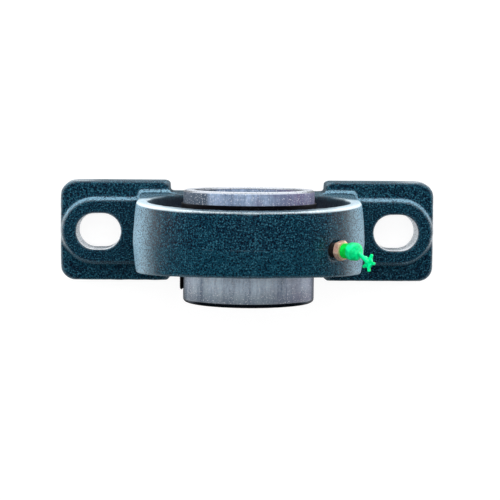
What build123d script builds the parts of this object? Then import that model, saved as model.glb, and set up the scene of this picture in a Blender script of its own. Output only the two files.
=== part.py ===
from build123d import *
from math import atan2, cos, radians, sin, sqrt, tan
import os

# Pillow block bearing for a 75 mm shaft: a cast foot-mounted housing with a self-aligning
# ball bearing insert that grips the shaft with two set screws.
#
# X runs along the base from foot to foot, Y along the shaft, Z up.
# The front is the side of the set screws, towards -Y.
# The origin is on the base plane, straight below the middle of the ball seat.
# Lengths are in mm and angles in degrees. "Level" is a distance from the shaft axis, and
# "plane" is a distance from the middle plane of the ball seat.

# ---- Bearing insert --------------------------------------------------------------------
bore_radius = 37.5
ball_radius = 17.462 / 2
ball_count = 11
ball_play = 0.05            # gap between a ball and each raceway
inner_race_wall = 4.969     # bore to the bottom of the inner raceway
outer_race_wall = 4.969     # bottom of the outer raceway to the ball-shaped outside
raceway_conformity = 0.52   # raceway section radius over ball diameter
inner_shoulder_height = 3.03
outer_shoulder_height = 3.2
inner_ring_short_side = 33.3    # middle plane to the end without set screws
inner_ring_chamfer = 1.5    # at the back end
inner_ring_round = 2.5      # outer edge at the set screw end
bore_chamfer = 1.0
oil_hole_radius = 1.0
oil_hole_offset = 8.2       # oil holes to the middle plane, towards the front
cage_sheet = 1.2
cage_pocket_play = 0.15
cage_ring_gap = 1.7         # cage to the shoulder of either ring
rivet_radius = 1.4
rivet_head_radius = 2.5
rivet_head_height = 0.9
seal_cage_gap = 1.32        # seal to the cage's pockets
seal_thickness = 2.0
seal_inset = 0.6            # seal's outer face to the outer ring's side
seal_seat_step = 2.2        # from the outer ring's shoulder up to the seal's seat
seal_bead_height = 1.2
seal_bead_width = 1.4
seal_lip_gap = 0.15
seal_lip_bevel = 1.0
seal_insert_sheet = 0.7
seal_insert_from_inner = 3.0    # steel disc to the inner ring
seal_insert_from_outer = 1.2    # steel disc to the seal's seat
slinger_sheet = 1.4
slinger_gap = 0.9           # slinger flange to the outer ring's side
slinger_rim_gap = 0.6       # slinger's rim, inside the radius of the seal's seat
slinger_lip_length = 2.2
slinger_hub_length = 9.3    # along the shaft, flange included
slinger_dimple_radius = 2.4     # domed dimple at the outer end of the back slinger's hub
slinger_dimple_height = 1.0
slinger_dimple_angle = 5.0
slinger_dimple_edge = 0.3   # dimple to the end of the hub
press_gap = 0.02            # between pieces pressed together

# ---- Set screws -------------------------------------------------------------------------
screw_radius = 6.0
screw_length = 10.0
screw_thread_play = 0.06
screw_hub_gap = 0.3         # between a set screw and the end of the slinger's hub
screw_from_end = 14.0       # set screw axis to the front end of the inner ring
screw_tip_gap = 0.2         # between the tip and the bore surface
first_screw_angle = 180.0         # first set screw, round the shaft from +X towards +Z
screw_spread_angle = 120.0
screw_point_depth = 1.6
screw_point_radius = 4.0
screw_socket_flats = 6.0
screw_socket_depth = 5.0
screw_edge_chamfer = 0.8
screw_hole_bevel = 0.4      # countersink at the mouth of each tapped hole

# ---- Housing -------------------------------------------------------------------------
centre_height = 82.6        # base plane to shaft axis
ring_wall = 15.4            # outside of the ring to the ball seat, on the middle plane
crown_radius = 145.0        # barrel shape of the ring's outside
ring_half_width_top = 21.0
ring_half_width_base = 29.2
rim_edge_radius = 1.8
rim_mouth_radius = 1.0
seat_clearance = 0.05
seat_overhang = 3.0         # ball seat beyond the outer ring's side
recess_floor_width = 6.6    # from the ball seat's edge out to the recess wall
recess_slope_angle = 10.0
filling_slot_play = 0.5
grease_groove_depth = 1.4
grease_groove_margin = 3.4  # groove beyond the oil holes
foot_width = 74.0           # foot plate across the shaft direction, at the base plane
foot_inner_end = 56.7       # where each foot plate begins, measured from the middle
foot_end_wall = 13.0        # bolt slot to foot end, at the base plane
foot_plate_height = 21.0
foot_corner_radius = 11.5
foot_inner_corner_radius = 3.0
foot_edge_radius = 2.2
casting_draft_angle = 2.0
bolt_spacing = 217.0
bolt_slot_width = 26.0
bolt_slot_length = 32.0
bolt_slot_edge = 0.4        # broken edge round each slot
boss_height = 28.0          # top of the raised seat round each bolt slot
boss_wall = 11.8            # seat beside the slot, at the level of the foot plate
boss_end_gap = 0.7          # seat end to foot end
boss_side_angle = 16.0
boss_root = 4.2             # how far the seat reaches down into the foot plate
plinth_slope_angle = 18.0         # sloped shoulder round the pedestal's root, up to the bolt seats' level
plinth_ledge = 0.6
plinth_corner_radius = 1.2  # at the bolt seats' level
pocket_wall = 8.5           # casting wall round the two pockets under the base
pocket_ring_wall = 11.0     # wall left between a pocket and the ball seat
pocket_web_half = 24.0      # half of the solid web left in the middle of the base
pocket_corner_radius = 5.0

# ---- Grease nipple ------------------------------------------------------------------------
nipple_angle = 45.0         # from straight up towards +X
nipple_offset = 4.0         # along the shaft from the middle plane, towards the front
grease_port_radius = 2.5
spot_face_radius = 6.9
spot_face_depth = 2.6       # below the ring's outside
nipple_shank_radius = 4.86
nipple_shank_length = 12.3
nipple_stand_off = 5.1      # thread left bare between the spot face and the hexagon
nipple_root_gap = 0.5       # shank end to the bottom of its threaded hole
nipple_root_bevel = 0.7
nipple_hex_flats = 12.0
nipple_hex_height = 4.3
nipple_hex_angle = 44.0
nipple_hex_bevel = 0.8
nipple_collar_radius = 3.0
nipple_collar_height = 1.2
nipple_neck_radius = 2.4
nipple_neck_length = 0.8
nipple_head_radius = 3.25
nipple_head_length = 4.1
nipple_head_cone = 1.2
nipple_tip_radius = 1.9
nipple_tip_cone = 2.2
nipple_above_hex = 8.6
nipple_tip_wall = 1.0       # from the tip down to the roof of the spring chamber
nipple_bore_radius = 1.0
spring_chamber_radius = 1.45
spring_chamber_length = 8.4
spring_chamber_gap = 0.25
chamber_roof_cone = 0.6
check_ball_radius = 1.25
check_ball_gap = 0.04       # between the ball and its seat or its spring
tip_hole_radius = 0.85
spring_wire_radius = 0.2
spring_turns = 5

# ---- Dust cap -----------------------------------------------------------------------------
cap_lift = 0.2              # gap between the nipple's hexagon and the cap
cap_wall = 1.8
cap_skirt_length = 4.1
cap_crown_step = 0.8        # crown's outside beyond the skirt's
cap_crown_length = 8.4
cap_crown_round = 2.6
cap_cavity_play = 0.15
cap_roof_gap = 0.4          # nipple's tip to the roof of the cap's cavity
strap_width = 2.8
strap_thickness = 2.4
strap_edge_radius = 0.8
strap_root_depth = 1.5      # strap's root below the end of the cap
strap_turn_angle = 198.5          # round the nipple, from +Y
strap_rise_angle = 49.1
strap_length = 10.8         # from its root to the middle of the tab
tab_turn_angle = 80.0             # way the tab faces, round the nipple from +Y
tab_rise_angle = -11.6
tab_radius = 3.6
tab_thickness = 1.7
tab_arm_count = 5
tab_arm_radius = 1.1
tab_arm_reach = 5.1         # from the middle of the tab to the middle of an arm's round end
tab_arm_angle = 51.8        # the arm under the strap, round the tab from the shaft's direction

overrun = 1.0               # how far a cut reaches beyond the surface that it opens

# ---- Worked out ---------------------------------------------------------------------------
shaft_axis = Axis((0, 0, centre_height), (0, 1, 0))
turning_plane = Plane.XY.offset(centre_height)      # local x is a radius, local y runs along the shaft
screw_angles = (first_screw_angle, first_screw_angle + screw_spread_angle)

raceway_radius = raceway_conformity * 2 * ball_radius
inner_race_radius = bore_radius + inner_race_wall
pitch_radius = inner_race_radius + ball_play + ball_radius
outer_race_radius = pitch_radius + ball_radius + ball_play
outer_ring_radius = outer_race_radius + outer_race_wall
inner_ring_radius = inner_race_radius + inner_shoulder_height
outer_shoulder_radius = outer_race_radius - outer_shoulder_height
cage_pocket_radius = ball_radius + cage_pocket_play
cage_outside_radius = cage_pocket_radius + cage_sheet
cage_inner_radius = inner_ring_radius + cage_ring_gap
cage_outer_radius = outer_shoulder_radius - cage_ring_gap
seal_inner_plane = cage_outside_radius + seal_cage_gap
seal_outer_plane = seal_inner_plane + seal_thickness
seal_seat_radius = outer_shoulder_radius + seal_seat_step
seal_groove_radius = seal_seat_radius + seal_bead_height
seal_insert_inner = inner_ring_radius + seal_insert_from_inner
seal_insert_outer = seal_seat_radius - seal_insert_from_outer
outer_half = seal_outer_plane + seal_inset
slinger_inner_plane = outer_half + slinger_gap
slinger_outer_radius = seal_seat_radius - slinger_rim_gap
slinger_hub_end = slinger_inner_plane + slinger_hub_length
screw_plane = slinger_hub_end + screw_hub_gap + screw_radius
inner_ring_long_side = screw_plane + screw_from_end

seat_radius = outer_ring_radius + seat_clearance
seat_half = outer_half + seat_overhang
seat_edge_radius = sqrt(seat_radius ** 2 - seat_half ** 2)
recess_floor_radius = seat_edge_radius + recess_floor_width
ring_radius = outer_ring_radius + ring_wall
ring_top = centre_height + ring_radius
base_length = bolt_spacing + bolt_slot_length + 2 * foot_end_wall
boss_width = bolt_slot_width + 2 * boss_wall

spot_face_level = ring_radius - spot_face_depth
hex_base_level = spot_face_level + nipple_stand_off
hex_top_level = hex_base_level + nipple_hex_height
nipple_root_level = hex_base_level - nipple_shank_length
nipple_tip_level = hex_top_level + nipple_above_hex
chamber_roof = nipple_tip_level - nipple_tip_wall
chamber_floor = chamber_roof - spring_chamber_length
chamber_roof_angle = atan2(spring_chamber_radius - tip_hole_radius, chamber_roof_cone)
check_ball_level = (chamber_roof + tip_hole_radius / tan(chamber_roof_angle)
                    - (check_ball_radius + check_ball_gap) / sin(chamber_roof_angle))
cap_base_level = hex_top_level + cap_lift
cap_cavity_radius = nipple_head_radius + cap_cavity_play
cap_skirt_radius = cap_cavity_radius + cap_wall
cap_crown_radius = cap_skirt_radius + cap_crown_step
cap_crown_level = cap_base_level + cap_skirt_length


def turned(face):
    """Turn a face drawn on the turning plane once round the shaft axis."""
    return revolve(turning_plane * face, shaft_axis)


def outline(*points):
    """Make a face from straight edges through the points."""
    return make_face(Polyline(*points, close=True))


def radial_place(angle, plane, level):
    """Place whose local z points away from the shaft, at an angle counted from +X towards +Z."""
    direction = Vector(cos(radians(angle)), 0, sin(radians(angle)))
    origin = Vector(0, plane, centre_height) + direction * level
    return Location(Plane(origin=origin, x_dir=(0, 1, 0), z_dir=direction))


def crown_drop(plane):
    """How far the barrel outside of the ring falls away from its middle."""
    return sagitta(crown_radius, plane)


def ring_half_width(height):
    """Half width of the pedestal and ring, which taper towards the top."""
    taper = (ring_half_width_base - ring_half_width_top) / ring_top
    return ring_half_width_base - taper * height


def sagitta(radius, half_chord):
    """How far a round surface falls away at the edge of a hole or a flat on it."""
    return radius - sqrt(radius ** 2 - half_chord ** 2)


def upright(*points):
    """Turn a profile of (radius, height) points once round the local z axis."""
    return revolve(Plane.XZ * outline(*points), Axis.Z)


def drilled(radius, depth):
    """Cylinder below the local origin, to be cut away."""
    return Cylinder(radius, depth, align=(Align.CENTER, Align.CENTER, Align.MAX))


# ---- Housing ------------------------------------------------------------------------------
def ring_and_pedestal():
    """The barrel-shaped ring, carried straight down to the base between tapered sides."""
    reach = ring_half_width_base + overrun
    side_radius = ring_radius - crown_drop(reach)
    barrel = make_face([
        Line((0, -reach), (side_radius, -reach)),
        ThreePointArc((side_radius, -reach), (ring_radius, 0), (side_radius, reach)),
        Line((side_radius, reach), (0, reach)),
        Line((0, reach), (0, -reach)),
    ])
    column = make_face([
        ThreePointArc((side_radius, -reach), (ring_radius, 0), (side_radius, reach)),
        Line((side_radius, reach), (-side_radius, reach)),
        ThreePointArc((-side_radius, reach), (-ring_radius, 0), (-side_radius, -reach)),
        Line((-side_radius, -reach), (side_radius, -reach)),
    ])
    above = ring_top + overrun
    sides = outline(
        (-ring_half_width(0), 0), (ring_half_width(0), 0),
        (ring_half_width(above), above), (-ring_half_width(above), above),
    )
    body = turned(barrel) + extrude(column, centre_height)
    body = body & extrude(Plane.YZ * sides, ring_radius + overrun, both=True)
    rims = [rim for rim in body.edges()
            if rim.bounding_box().max.Z > overrun and abs(rim.center().Y) > seat_half / 2]
    return fillet(rims, rim_edge_radius)


def foot(side):
    """One foot plate with its raised bolt seat. side is -1 or 1."""
    plate_length = base_length / 2 - foot_inner_end
    plate = Rectangle(plate_length, foot_width)
    plate = fillet(plate.vertices().sort_by(Axis.X)[2:], foot_corner_radius)
    plate = fillet(plate.vertices().sort_by(Axis.X)[:2], foot_inner_corner_radius)
    plate = Pos(foot_inner_end + plate_length / 2, 0) * plate
    solid = extrude(plate, foot_plate_height, taper=casting_draft_angle)
    solid = fillet(solid.faces().sort_by(Axis.Z)[-1].edges(), foot_edge_radius)

    boss_end = base_length / 2 - boss_end_gap
    boss = Pos(boss_end / 2, 0) * SlotOverall(boss_end, boss_width)
    boss -= Rectangle(2 * foot_inner_end, 2 * boss_width)
    upper = extrude(Pos(0, 0, foot_plate_height) * boss, boss_height - foot_plate_height,
                    taper=boss_side_angle)
    lower = extrude(Pos(0, 0, foot_plate_height - boss_root) * boss, boss_root)
    solid = solid + upper + lower
    return solid if side > 0 else mirror(solid, Plane.YZ)


def plinth():
    """The sloped shoulder on both feet, round the pedestal's root."""
    height = boss_height - foot_plate_height
    half_width = ring_half_width(boss_height)
    slant = height * tan(radians(plinth_slope_angle))
    spread = plinth_ledge + slant
    half_length = ring_radius - crown_drop(half_width) + spread
    base = RectangleRounded(2 * half_length, 2 * (half_width + spread), plinth_corner_radius + slant)
    shoulder = extrude(Pos(0, 0, foot_plate_height) * base, height, taper=plinth_slope_angle)
    return shoulder - Box(2 * foot_inner_end, 2 * foot_width, 2 * ring_top)


def underside_pocket(side):
    """Hollow under the base beside the middle web, with a roof that follows the ring above it."""
    roof_radius = outer_ring_radius + pocket_ring_wall
    inner = pocket_web_half
    outer = ring_radius - crown_drop(ring_half_width(0)) - pocket_wall
    middle = (inner + outer) / 2
    half = ring_half_width(0) - pocket_wall
    inner_top, middle_top, outer_top = [
        centre_height - sqrt(roof_radius ** 2 - place ** 2) for place in (inner, middle, outer)]
    profile = make_face([
        Line((inner, -overrun), (outer, -overrun)),
        Line((outer, -overrun), (outer, outer_top)),
        ThreePointArc((outer, outer_top), (middle, middle_top), (inner, inner_top)),
        Line((inner, inner_top), (inner, -overrun)),
    ])
    roof = extrude(Plane.XZ * profile, half + overrun, both=True)
    plan = RectangleRounded(outer - inner, 2 * half, pocket_corner_radius)
    well = extrude(Pos(middle, 0, -overrun) * plan, outer_top + 2 * overrun, taper=casting_draft_angle)
    pocket = roof & well
    return pocket if side > 0 else mirror(pocket, Plane.YZ)


def turned_cuts():
    """Everything cut on the lathe: the ball seat, the recess on each side and the grease groove."""
    out = ring_half_width_base + foot_width / 2
    mouth = recess_floor_radius + (out - seat_half) * tan(radians(recess_slope_angle))
    profile = make_face([
        Polyline((seat_edge_radius, seat_half), (recess_floor_radius, seat_half), (mouth, out), (0, out),
                 (0, -out), (mouth, -out), (recess_floor_radius, -seat_half), (seat_edge_radius, -seat_half)),
        ThreePointArc((seat_edge_radius, -seat_half), (seat_radius, 0), (seat_edge_radius, seat_half)),
    ])
    groove_level = seat_radius + grease_groove_depth
    far = -oil_hole_offset - grease_groove_margin
    near = grease_port_radius - nipple_offset
    groove = outline((bore_radius, far), (groove_level, far), (groove_level, near), (bore_radius, near))
    return turned(profile) + turned(groove)


def filling_slots():
    """Two notches at the set screw side that let the insert in edgeways."""
    width = 2 * (outer_half + filling_slot_play)
    front = -seat_half - overrun
    disc = turned(outline((0, front), (seat_radius, front), (seat_radius, 0), (0, 0)))
    return disc & Pos(0, 0, centre_height) * Box(4 * seat_radius, 4 * seat_radius, width)


def bolt_slot(side):
    """Slotted bolt hole with a broken upper edge."""
    slot = SlotOverall(bolt_slot_length, bolt_slot_width)
    wide = SlotOverall(bolt_slot_length + 2 * bolt_slot_edge, bolt_slot_width + 2 * bolt_slot_edge)
    upper_edge = extrude(Pos(0, 0, boss_height) * wide, -bolt_slot_edge, taper=45)
    return Pos(side * bolt_spacing / 2, 0) * (extrude(slot, boss_height) + upper_edge)


def nipple_axis_place():
    """Place on the shaft axis whose local z runs out along the grease nipple."""
    return radial_place(90 - nipple_angle, -nipple_offset, 0)


def grease_port():
    """Spot face, threaded hole and grease port for the nipple."""
    spot_face = Pos(0, 0, ring_radius + overrun) * drilled(spot_face_radius, spot_face_depth + overrun)
    thread_depth = spot_face_level - nipple_root_level + nipple_root_gap
    thread = drilled(nipple_shank_radius + press_gap, thread_depth)
    port = drilled(grease_port_radius, spot_face_level - seat_radius)
    return nipple_axis_place() * (spot_face + Pos(0, 0, spot_face_level) * (thread + port))


def from_shaft(edge):
    """Least distance from an edge's quarter points to the shaft axis."""
    points = [edge @ place for place in (0.0, 0.25, 0.5, 0.75)]
    return min(sqrt(point.X ** 2 + (point.Z - centre_height) ** 2) for point in points)


def housing():
    """The one-piece casting."""
    cuts = turned_cuts()
    body = ring_and_pedestal() - cuts
    mouths = [edge for edge in body.edges()
              if recess_floor_radius + rim_mouth_radius / 2 < from_shaft(edge) < ring_radius - ring_wall / 3]
    body = fillet(mouths, rim_mouth_radius)
    body += plinth() + foot(1) + foot(-1) - cuts
    body -= filling_slots()
    for side in (-1, 1):
        body -= bolt_slot(side)
        body -= underside_pocket(side)
    return body - grease_port()


# ---- Insert -------------------------------------------------------------------------------
def outer_ring():
    """Outer ring with a ball-shaped outside, a raceway, seal grooves and two oil holes."""
    edge = sqrt(outer_ring_radius ** 2 - outer_half ** 2)
    race_centre = outer_race_radius - raceway_radius
    race_half = sqrt(raceway_radius ** 2 - (outer_shoulder_radius - race_centre) ** 2)
    bead_plane = seal_inner_plane + seal_bead_width
    profile = make_face([
        ThreePointArc((edge, -outer_half), (outer_ring_radius, 0), (edge, outer_half)),
        Polyline((edge, outer_half), (seal_seat_radius, outer_half), (seal_seat_radius, bead_plane),
                 (seal_groove_radius, bead_plane), (seal_groove_radius, seal_inner_plane),
                 (outer_shoulder_radius, seal_inner_plane), (outer_shoulder_radius, race_half)),
        ThreePointArc((outer_shoulder_radius, race_half), (outer_race_radius, 0),
                      (outer_shoulder_radius, -race_half)),
        Polyline((outer_shoulder_radius, -race_half), (outer_shoulder_radius, -seal_inner_plane),
                 (seal_groove_radius, -seal_inner_plane), (seal_groove_radius, -bead_plane),
                 (seal_seat_radius, -bead_plane), (seal_seat_radius, -outer_half),
                 (edge, -outer_half)),
    ])
    ring = turned(profile)
    hole = drilled(oil_hole_radius, outer_ring_radius - inner_ring_radius)
    for turn in (90 - nipple_angle, 270 - nipple_angle):
        ring -= radial_place(turn, -oil_hole_offset, outer_ring_radius) * hole
    return ring


def inner_ring():
    """Wide inner ring with its raceway and two tapped holes at the long end."""
    race_centre = inner_race_radius + raceway_radius
    race_half = sqrt(raceway_radius ** 2 - (race_centre - inner_ring_radius) ** 2)
    low, high = -inner_ring_long_side, inner_ring_short_side
    round_centre = (inner_ring_radius - inner_ring_round, low + inner_ring_round)
    profile = make_face([
        Polyline((inner_ring_radius, race_half), (inner_ring_radius, high - inner_ring_chamfer),
                 (inner_ring_radius - inner_ring_chamfer, high), (bore_radius + bore_chamfer, high),
                 (bore_radius, high - bore_chamfer), (bore_radius, low + bore_chamfer),
                 (bore_radius + bore_chamfer, low), (round_centre[0], low)),
        CenterArc(round_centre, inner_ring_round, -90, 90),
        Line((inner_ring_radius, round_centre[1]), (inner_ring_radius, -race_half)),
        ThreePointArc((inner_ring_radius, -race_half), (inner_race_radius, 0),
                      (inner_ring_radius, race_half)),
    ])
    ring = turned(profile)
    hole = screw_radius + screw_thread_play
    countersink = screw_hole_bevel + sagitta(inner_ring_radius, hole)
    inside = bore_radius - overrun - sagitta(bore_radius, hole)
    outside = inner_ring_radius + overrun
    tapped = upright((0, inside), (hole, inside), (hole, inner_ring_radius - countersink),
                     (hole + countersink, inner_ring_radius), (hole + countersink, outside), (0, outside))
    for angle in screw_angles:
        ring -= radial_place(angle, -screw_plane, 0) * tapped
    return ring


def ball_place(index):
    """Place of a ball on the pitch circle. The first is at the top."""
    return radial_place(90 + index * 360 / ball_count, 0, pitch_radius)


def cage_half(side):
    """One pressed half of the cage: a flat ribbon with a half round pocket for each ball."""
    def band(thickness):
        """Flat ring as wide as the cage."""
        return turned(outline((cage_inner_radius, 0), (cage_outer_radius, 0),
                              (cage_outer_radius, side * thickness), (cage_inner_radius, side * thickness)))

    places = [ball_place(index) for index in range(ball_count)]
    pockets = Part() + [place * Sphere(cage_outside_radius) for place in places]
    half = band(cage_sheet) + (band(cage_outside_radius) & pockets)
    half -= [place * Sphere(cage_pocket_radius) for place in places]
    rivet_hole = Cylinder(rivet_radius + press_gap, 4 * cage_sheet)
    return half - [rivet_place(index) * rivet_hole for index in range(ball_count)]


def rivet_place(index):
    """Place of a rivet, half way between two balls, with local z along the shaft."""
    angle = radians(90 + (index + 0.5) * 360 / ball_count)
    origin = (pitch_radius * cos(angle), 0, centre_height + pitch_radius * sin(angle))
    return Location(Plane(origin=origin, x_dir=(1, 0, 0), z_dir=(0, 1, 0)))


def cage_rivets():
    """The rivets that hold the two cage halves together."""
    top = cage_sheet + rivet_head_height
    crown = rivet_head_radius / 2
    rivet = upright((0, -top), (crown, -top), (rivet_head_radius, -cage_sheet), (rivet_radius, -cage_sheet),
                    (rivet_radius, cage_sheet), (rivet_head_radius, cage_sheet), (crown, top), (0, top))
    return Compound(children=[rivet_place(index) * rivet for index in range(ball_count)])


def seal(side):
    """Rubber seal: a bead snapped into the outer ring, a web and a lip towards the inner ring."""
    low, high = seal_inner_plane, seal_outer_plane
    lip = inner_ring_radius + seal_lip_gap
    seat = seal_seat_radius - press_gap
    bead = seal_groove_radius - press_gap
    bead_low, bead_high = low + press_gap, low + seal_bead_width - press_gap
    insert_in, insert_out = seal_insert_inner - press_gap, seal_insert_outer + press_gap
    web = seal_thickness - seal_insert_sheet
    points = [
        (bead, bead_low), (bead, bead_high), (seat, bead_high), (seat, high),
        (lip + seal_lip_bevel, high), (lip, high - web / 2), (lip, low + web / 2), (insert_in, low),
        (insert_in, low + seal_insert_sheet), (insert_out, low + seal_insert_sheet), (insert_out, bead_low),
    ]
    return turned(outline(*[(radius, side * plane) for radius, plane in points]))


def seal_insert(side):
    """Pressed steel disc bonded into the inner side of the seal."""
    low = seal_inner_plane + press_gap
    high = seal_inner_plane + seal_insert_sheet - press_gap
    near, far = seal_insert_inner, seal_insert_outer
    return turned(outline((near, side * low), (far, side * low), (far, side * high), (near, side * high)))


def slinger(side):
    """Pressed guard ring on the inner ring: a hub, a flange before the seal and an outer lip."""
    near = slinger_inner_plane
    floor = near + slinger_sheet
    lip = floor + slinger_lip_length
    seat = inner_ring_radius + press_gap
    hub = seat + slinger_sheet
    points = [
        (seat, near), (slinger_outer_radius, near), (slinger_outer_radius, lip),
        (slinger_outer_radius - slinger_sheet, lip), (slinger_outer_radius - slinger_sheet, floor),
        (hub, floor), (hub, slinger_hub_end), (seat, slinger_hub_end),
    ]
    ring = turned(outline(*[(radius, side * plane) for radius, plane in points]))
    return ring if side < 0 else ring + slinger_dimple(hub)


def slinger_dimple(hub):
    """Low dome on the hub of the back slinger, beside its outer end."""
    dome = (slinger_dimple_radius ** 2 + slinger_dimple_height ** 2) / (2 * slinger_dimple_height)
    sunk = Plane.XY.offset(-sagitta(hub, slinger_dimple_radius) - press_gap)
    cap = split(Pos(0, 0, slinger_dimple_height - dome) * Sphere(dome), sunk, Keep.TOP)
    plane = slinger_hub_end - slinger_dimple_edge - slinger_dimple_radius
    return radial_place(90 + slinger_dimple_angle, plane, hub) * cap


def set_screw(angle):
    """Hexagon socket set screw with a cup point, standing slightly proud of the inner ring."""
    screw = upright((0, 0), (screw_point_radius, 0), (screw_radius, screw_point_depth),
                    (screw_radius, screw_length - screw_edge_chamfer),
                    (screw_radius - screw_edge_chamfer, screw_length), (0, screw_length))
    corner_radius = screw_socket_flats / sqrt(3)
    socket = extrude(Pos(0, 0, screw_length) * RegularPolygon(corner_radius, 6), -screw_socket_depth)
    return radial_place(angle, -screw_plane, bore_radius + screw_tip_gap) * (screw - socket)


# ---- Grease nipple --------------------------------------------------------------------------
def grease_nipple():
    """Nipple body: threaded shank, hexagon, neck and the head that takes the grease gun."""
    root, low, top, tip = nipple_root_level, hex_base_level, hex_top_level, nipple_tip_level
    flats, corner = nipple_hex_flats / 2, nipple_hex_flats / sqrt(3)
    shank = upright((0, root), (nipple_shank_radius - nipple_root_bevel, root),
                    (nipple_shank_radius, root + nipple_root_bevel), (nipple_shank_radius, low), (0, low))
    hexagon = extrude(Rot(0, 0, nipple_hex_angle) * RegularPolygon(corner, 6), nipple_hex_height)
    bevelled = upright((0, low), (flats, low), (corner, low + nipple_hex_bevel),
                       (corner, top - nipple_hex_bevel), (flats, top), (0, top))
    neck_top = tip - nipple_head_length
    head = upright((0, top), (nipple_collar_radius, top), (nipple_collar_radius, top + nipple_collar_height),
                   (nipple_neck_radius, neck_top - nipple_neck_length), (nipple_neck_radius, neck_top),
                   (nipple_head_radius, neck_top + nipple_head_cone),
                   (nipple_head_radius, tip - nipple_tip_cone), (nipple_tip_radius, tip), (0, tip))
    bore = upright((0, root), (nipple_bore_radius, root), (nipple_bore_radius, chamber_floor),
                   (spring_chamber_radius, chamber_floor),
                   (spring_chamber_radius, chamber_roof - chamber_roof_cone),
                   (tip_hole_radius, chamber_roof), (tip_hole_radius, tip), (0, tip))
    return nipple_axis_place() * (shank + (Pos(0, 0, low) * hexagon & bevelled) + head - bore)


def check_ball():
    """Steel ball that closes the nipple's mouth from inside."""
    return nipple_axis_place() * Pos(0, 0, check_ball_level) * Sphere(check_ball_radius)


def check_spring():
    """Small coil spring behind the check ball."""
    coil_radius = spring_chamber_radius - spring_chamber_gap - spring_wire_radius
    contact = check_ball_radius + check_ball_gap + spring_wire_radius
    low = chamber_floor + spring_wire_radius
    high = check_ball_level - sqrt(contact ** 2 - coil_radius ** 2)
    path = Helix(pitch=(high - low) / spring_turns, height=high - low, radius=coil_radius)
    wire = Plane(origin=path @ 0, z_dir=path % 0) * RegularPolygon(spring_wire_radius, 6)
    return nipple_axis_place() * Pos(0, 0, low) * sweep(wire, path, is_frenet=True)


# ---- Dust cap -------------------------------------------------------------------------------
def dust_cap():
    """Soft cap over the nipple's head, with its strap and pull tab in one moulding."""
    base, crown_base = cap_base_level, cap_crown_level
    skirt_top = crown_base + cap_crown_length / 2
    roof = nipple_tip_level + cap_roof_gap
    skirt = upright((0, base), (cap_skirt_radius, base), (cap_skirt_radius, skirt_top), (0, skirt_top))
    crown = Pos(0, 0, crown_base + cap_crown_length / 2) * Cylinder(cap_crown_radius, cap_crown_length)
    crown = fillet(crown.edges().filter_by(GeomType.CIRCLE), cap_crown_round)
    below = base - overrun
    cavity = upright((0, below), (cap_cavity_radius, below), (cap_cavity_radius, roof), (0, roof))
    return nipple_axis_place() * (skirt + crown + strap_and_tab() - cavity)


def pointing(turn, rise):
    """Direction by its turn round the nipple's axis and its rise along it."""
    flat = cos(radians(rise))
    return Vector(flat * cos(radians(turn)), flat * sin(radians(turn)), sin(radians(rise)))


def tab_arm():
    """One arm of the pull tab, with a round end."""
    arm = Pos(tab_arm_reach / 2, 0) * Rectangle(tab_arm_reach, 2 * tab_arm_radius)
    return arm + Pos(tab_arm_reach, 0) * Circle(tab_arm_radius)


def strap_and_tab():
    """Strap from the cap's crown to a small star-shaped tab, in the nipple's own axes."""
    root = Vector(0, 0, cap_crown_level + cap_crown_length - strap_root_depth)
    along = pointing(strap_turn_angle, strap_rise_angle)
    across = Vector(0, 0, 1).cross(along)
    strap_place = Location(Plane(origin=root, x_dir=across, z_dir=along))
    strap = extrude(RectangleRounded(strap_width, strap_thickness, strap_edge_radius), strap_length)
    facing = pointing(tab_turn_angle, tab_rise_angle)
    tab_place = Location(Plane(origin=root + along * strap_length,
                               x_dir=facing.cross(Vector(1, 0, 0)).cross(facing), z_dir=facing))
    tab = Circle(tab_radius)
    for index in range(tab_arm_count):
        tab += Rot(0, 0, tab_arm_angle + index * 360 / tab_arm_count) * tab_arm()
    return strap_place * strap + tab_place * extrude(tab, tab_thickness / 2, both=True)


# ---- Write the parts --------------------------------------------------------------------------
parts = {
    "housing": housing(),
    "outer_ring": outer_ring(),
    "inner_ring": inner_ring(),
    "cage_half_front": cage_half(-1),
    "cage_half_back": cage_half(1),
    "cage_rivets": cage_rivets(),
    "seal_front": seal(-1),
    "seal_back": seal(1),
    "seal_insert_front": seal_insert(-1),
    "seal_insert_back": seal_insert(1),
    "slinger_front": slinger(-1),
    "slinger_back": slinger(1),
    "grease_nipple": grease_nipple(),
    "nipple_check_ball": check_ball(),
    "nipple_spring": check_spring(),
    "dust_cap": dust_cap(),
}
for index in range(ball_count):
    parts[f"ball_{index + 1:02d}"] = ball_place(index) * Sphere(ball_radius)
for index, angle in enumerate(screw_angles):
    parts[f"set_screw_{index + 1}"] = set_screw(angle)

os.makedirs("parts", exist_ok=True)
for node, shape in parts.items():
    export_step(shape, f"parts/{node}.step")
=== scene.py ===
"""Dressed model of a foot-mounted pillow block bearing with a self-aligning insert."""

import logging
import math
from dataclasses import dataclass
from enum import Enum
from typing import Callable, Iterable, Sequence, Union

import bmesh
import bpy
import numpy as np
from mathutils import Matrix, Vector, noise


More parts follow.
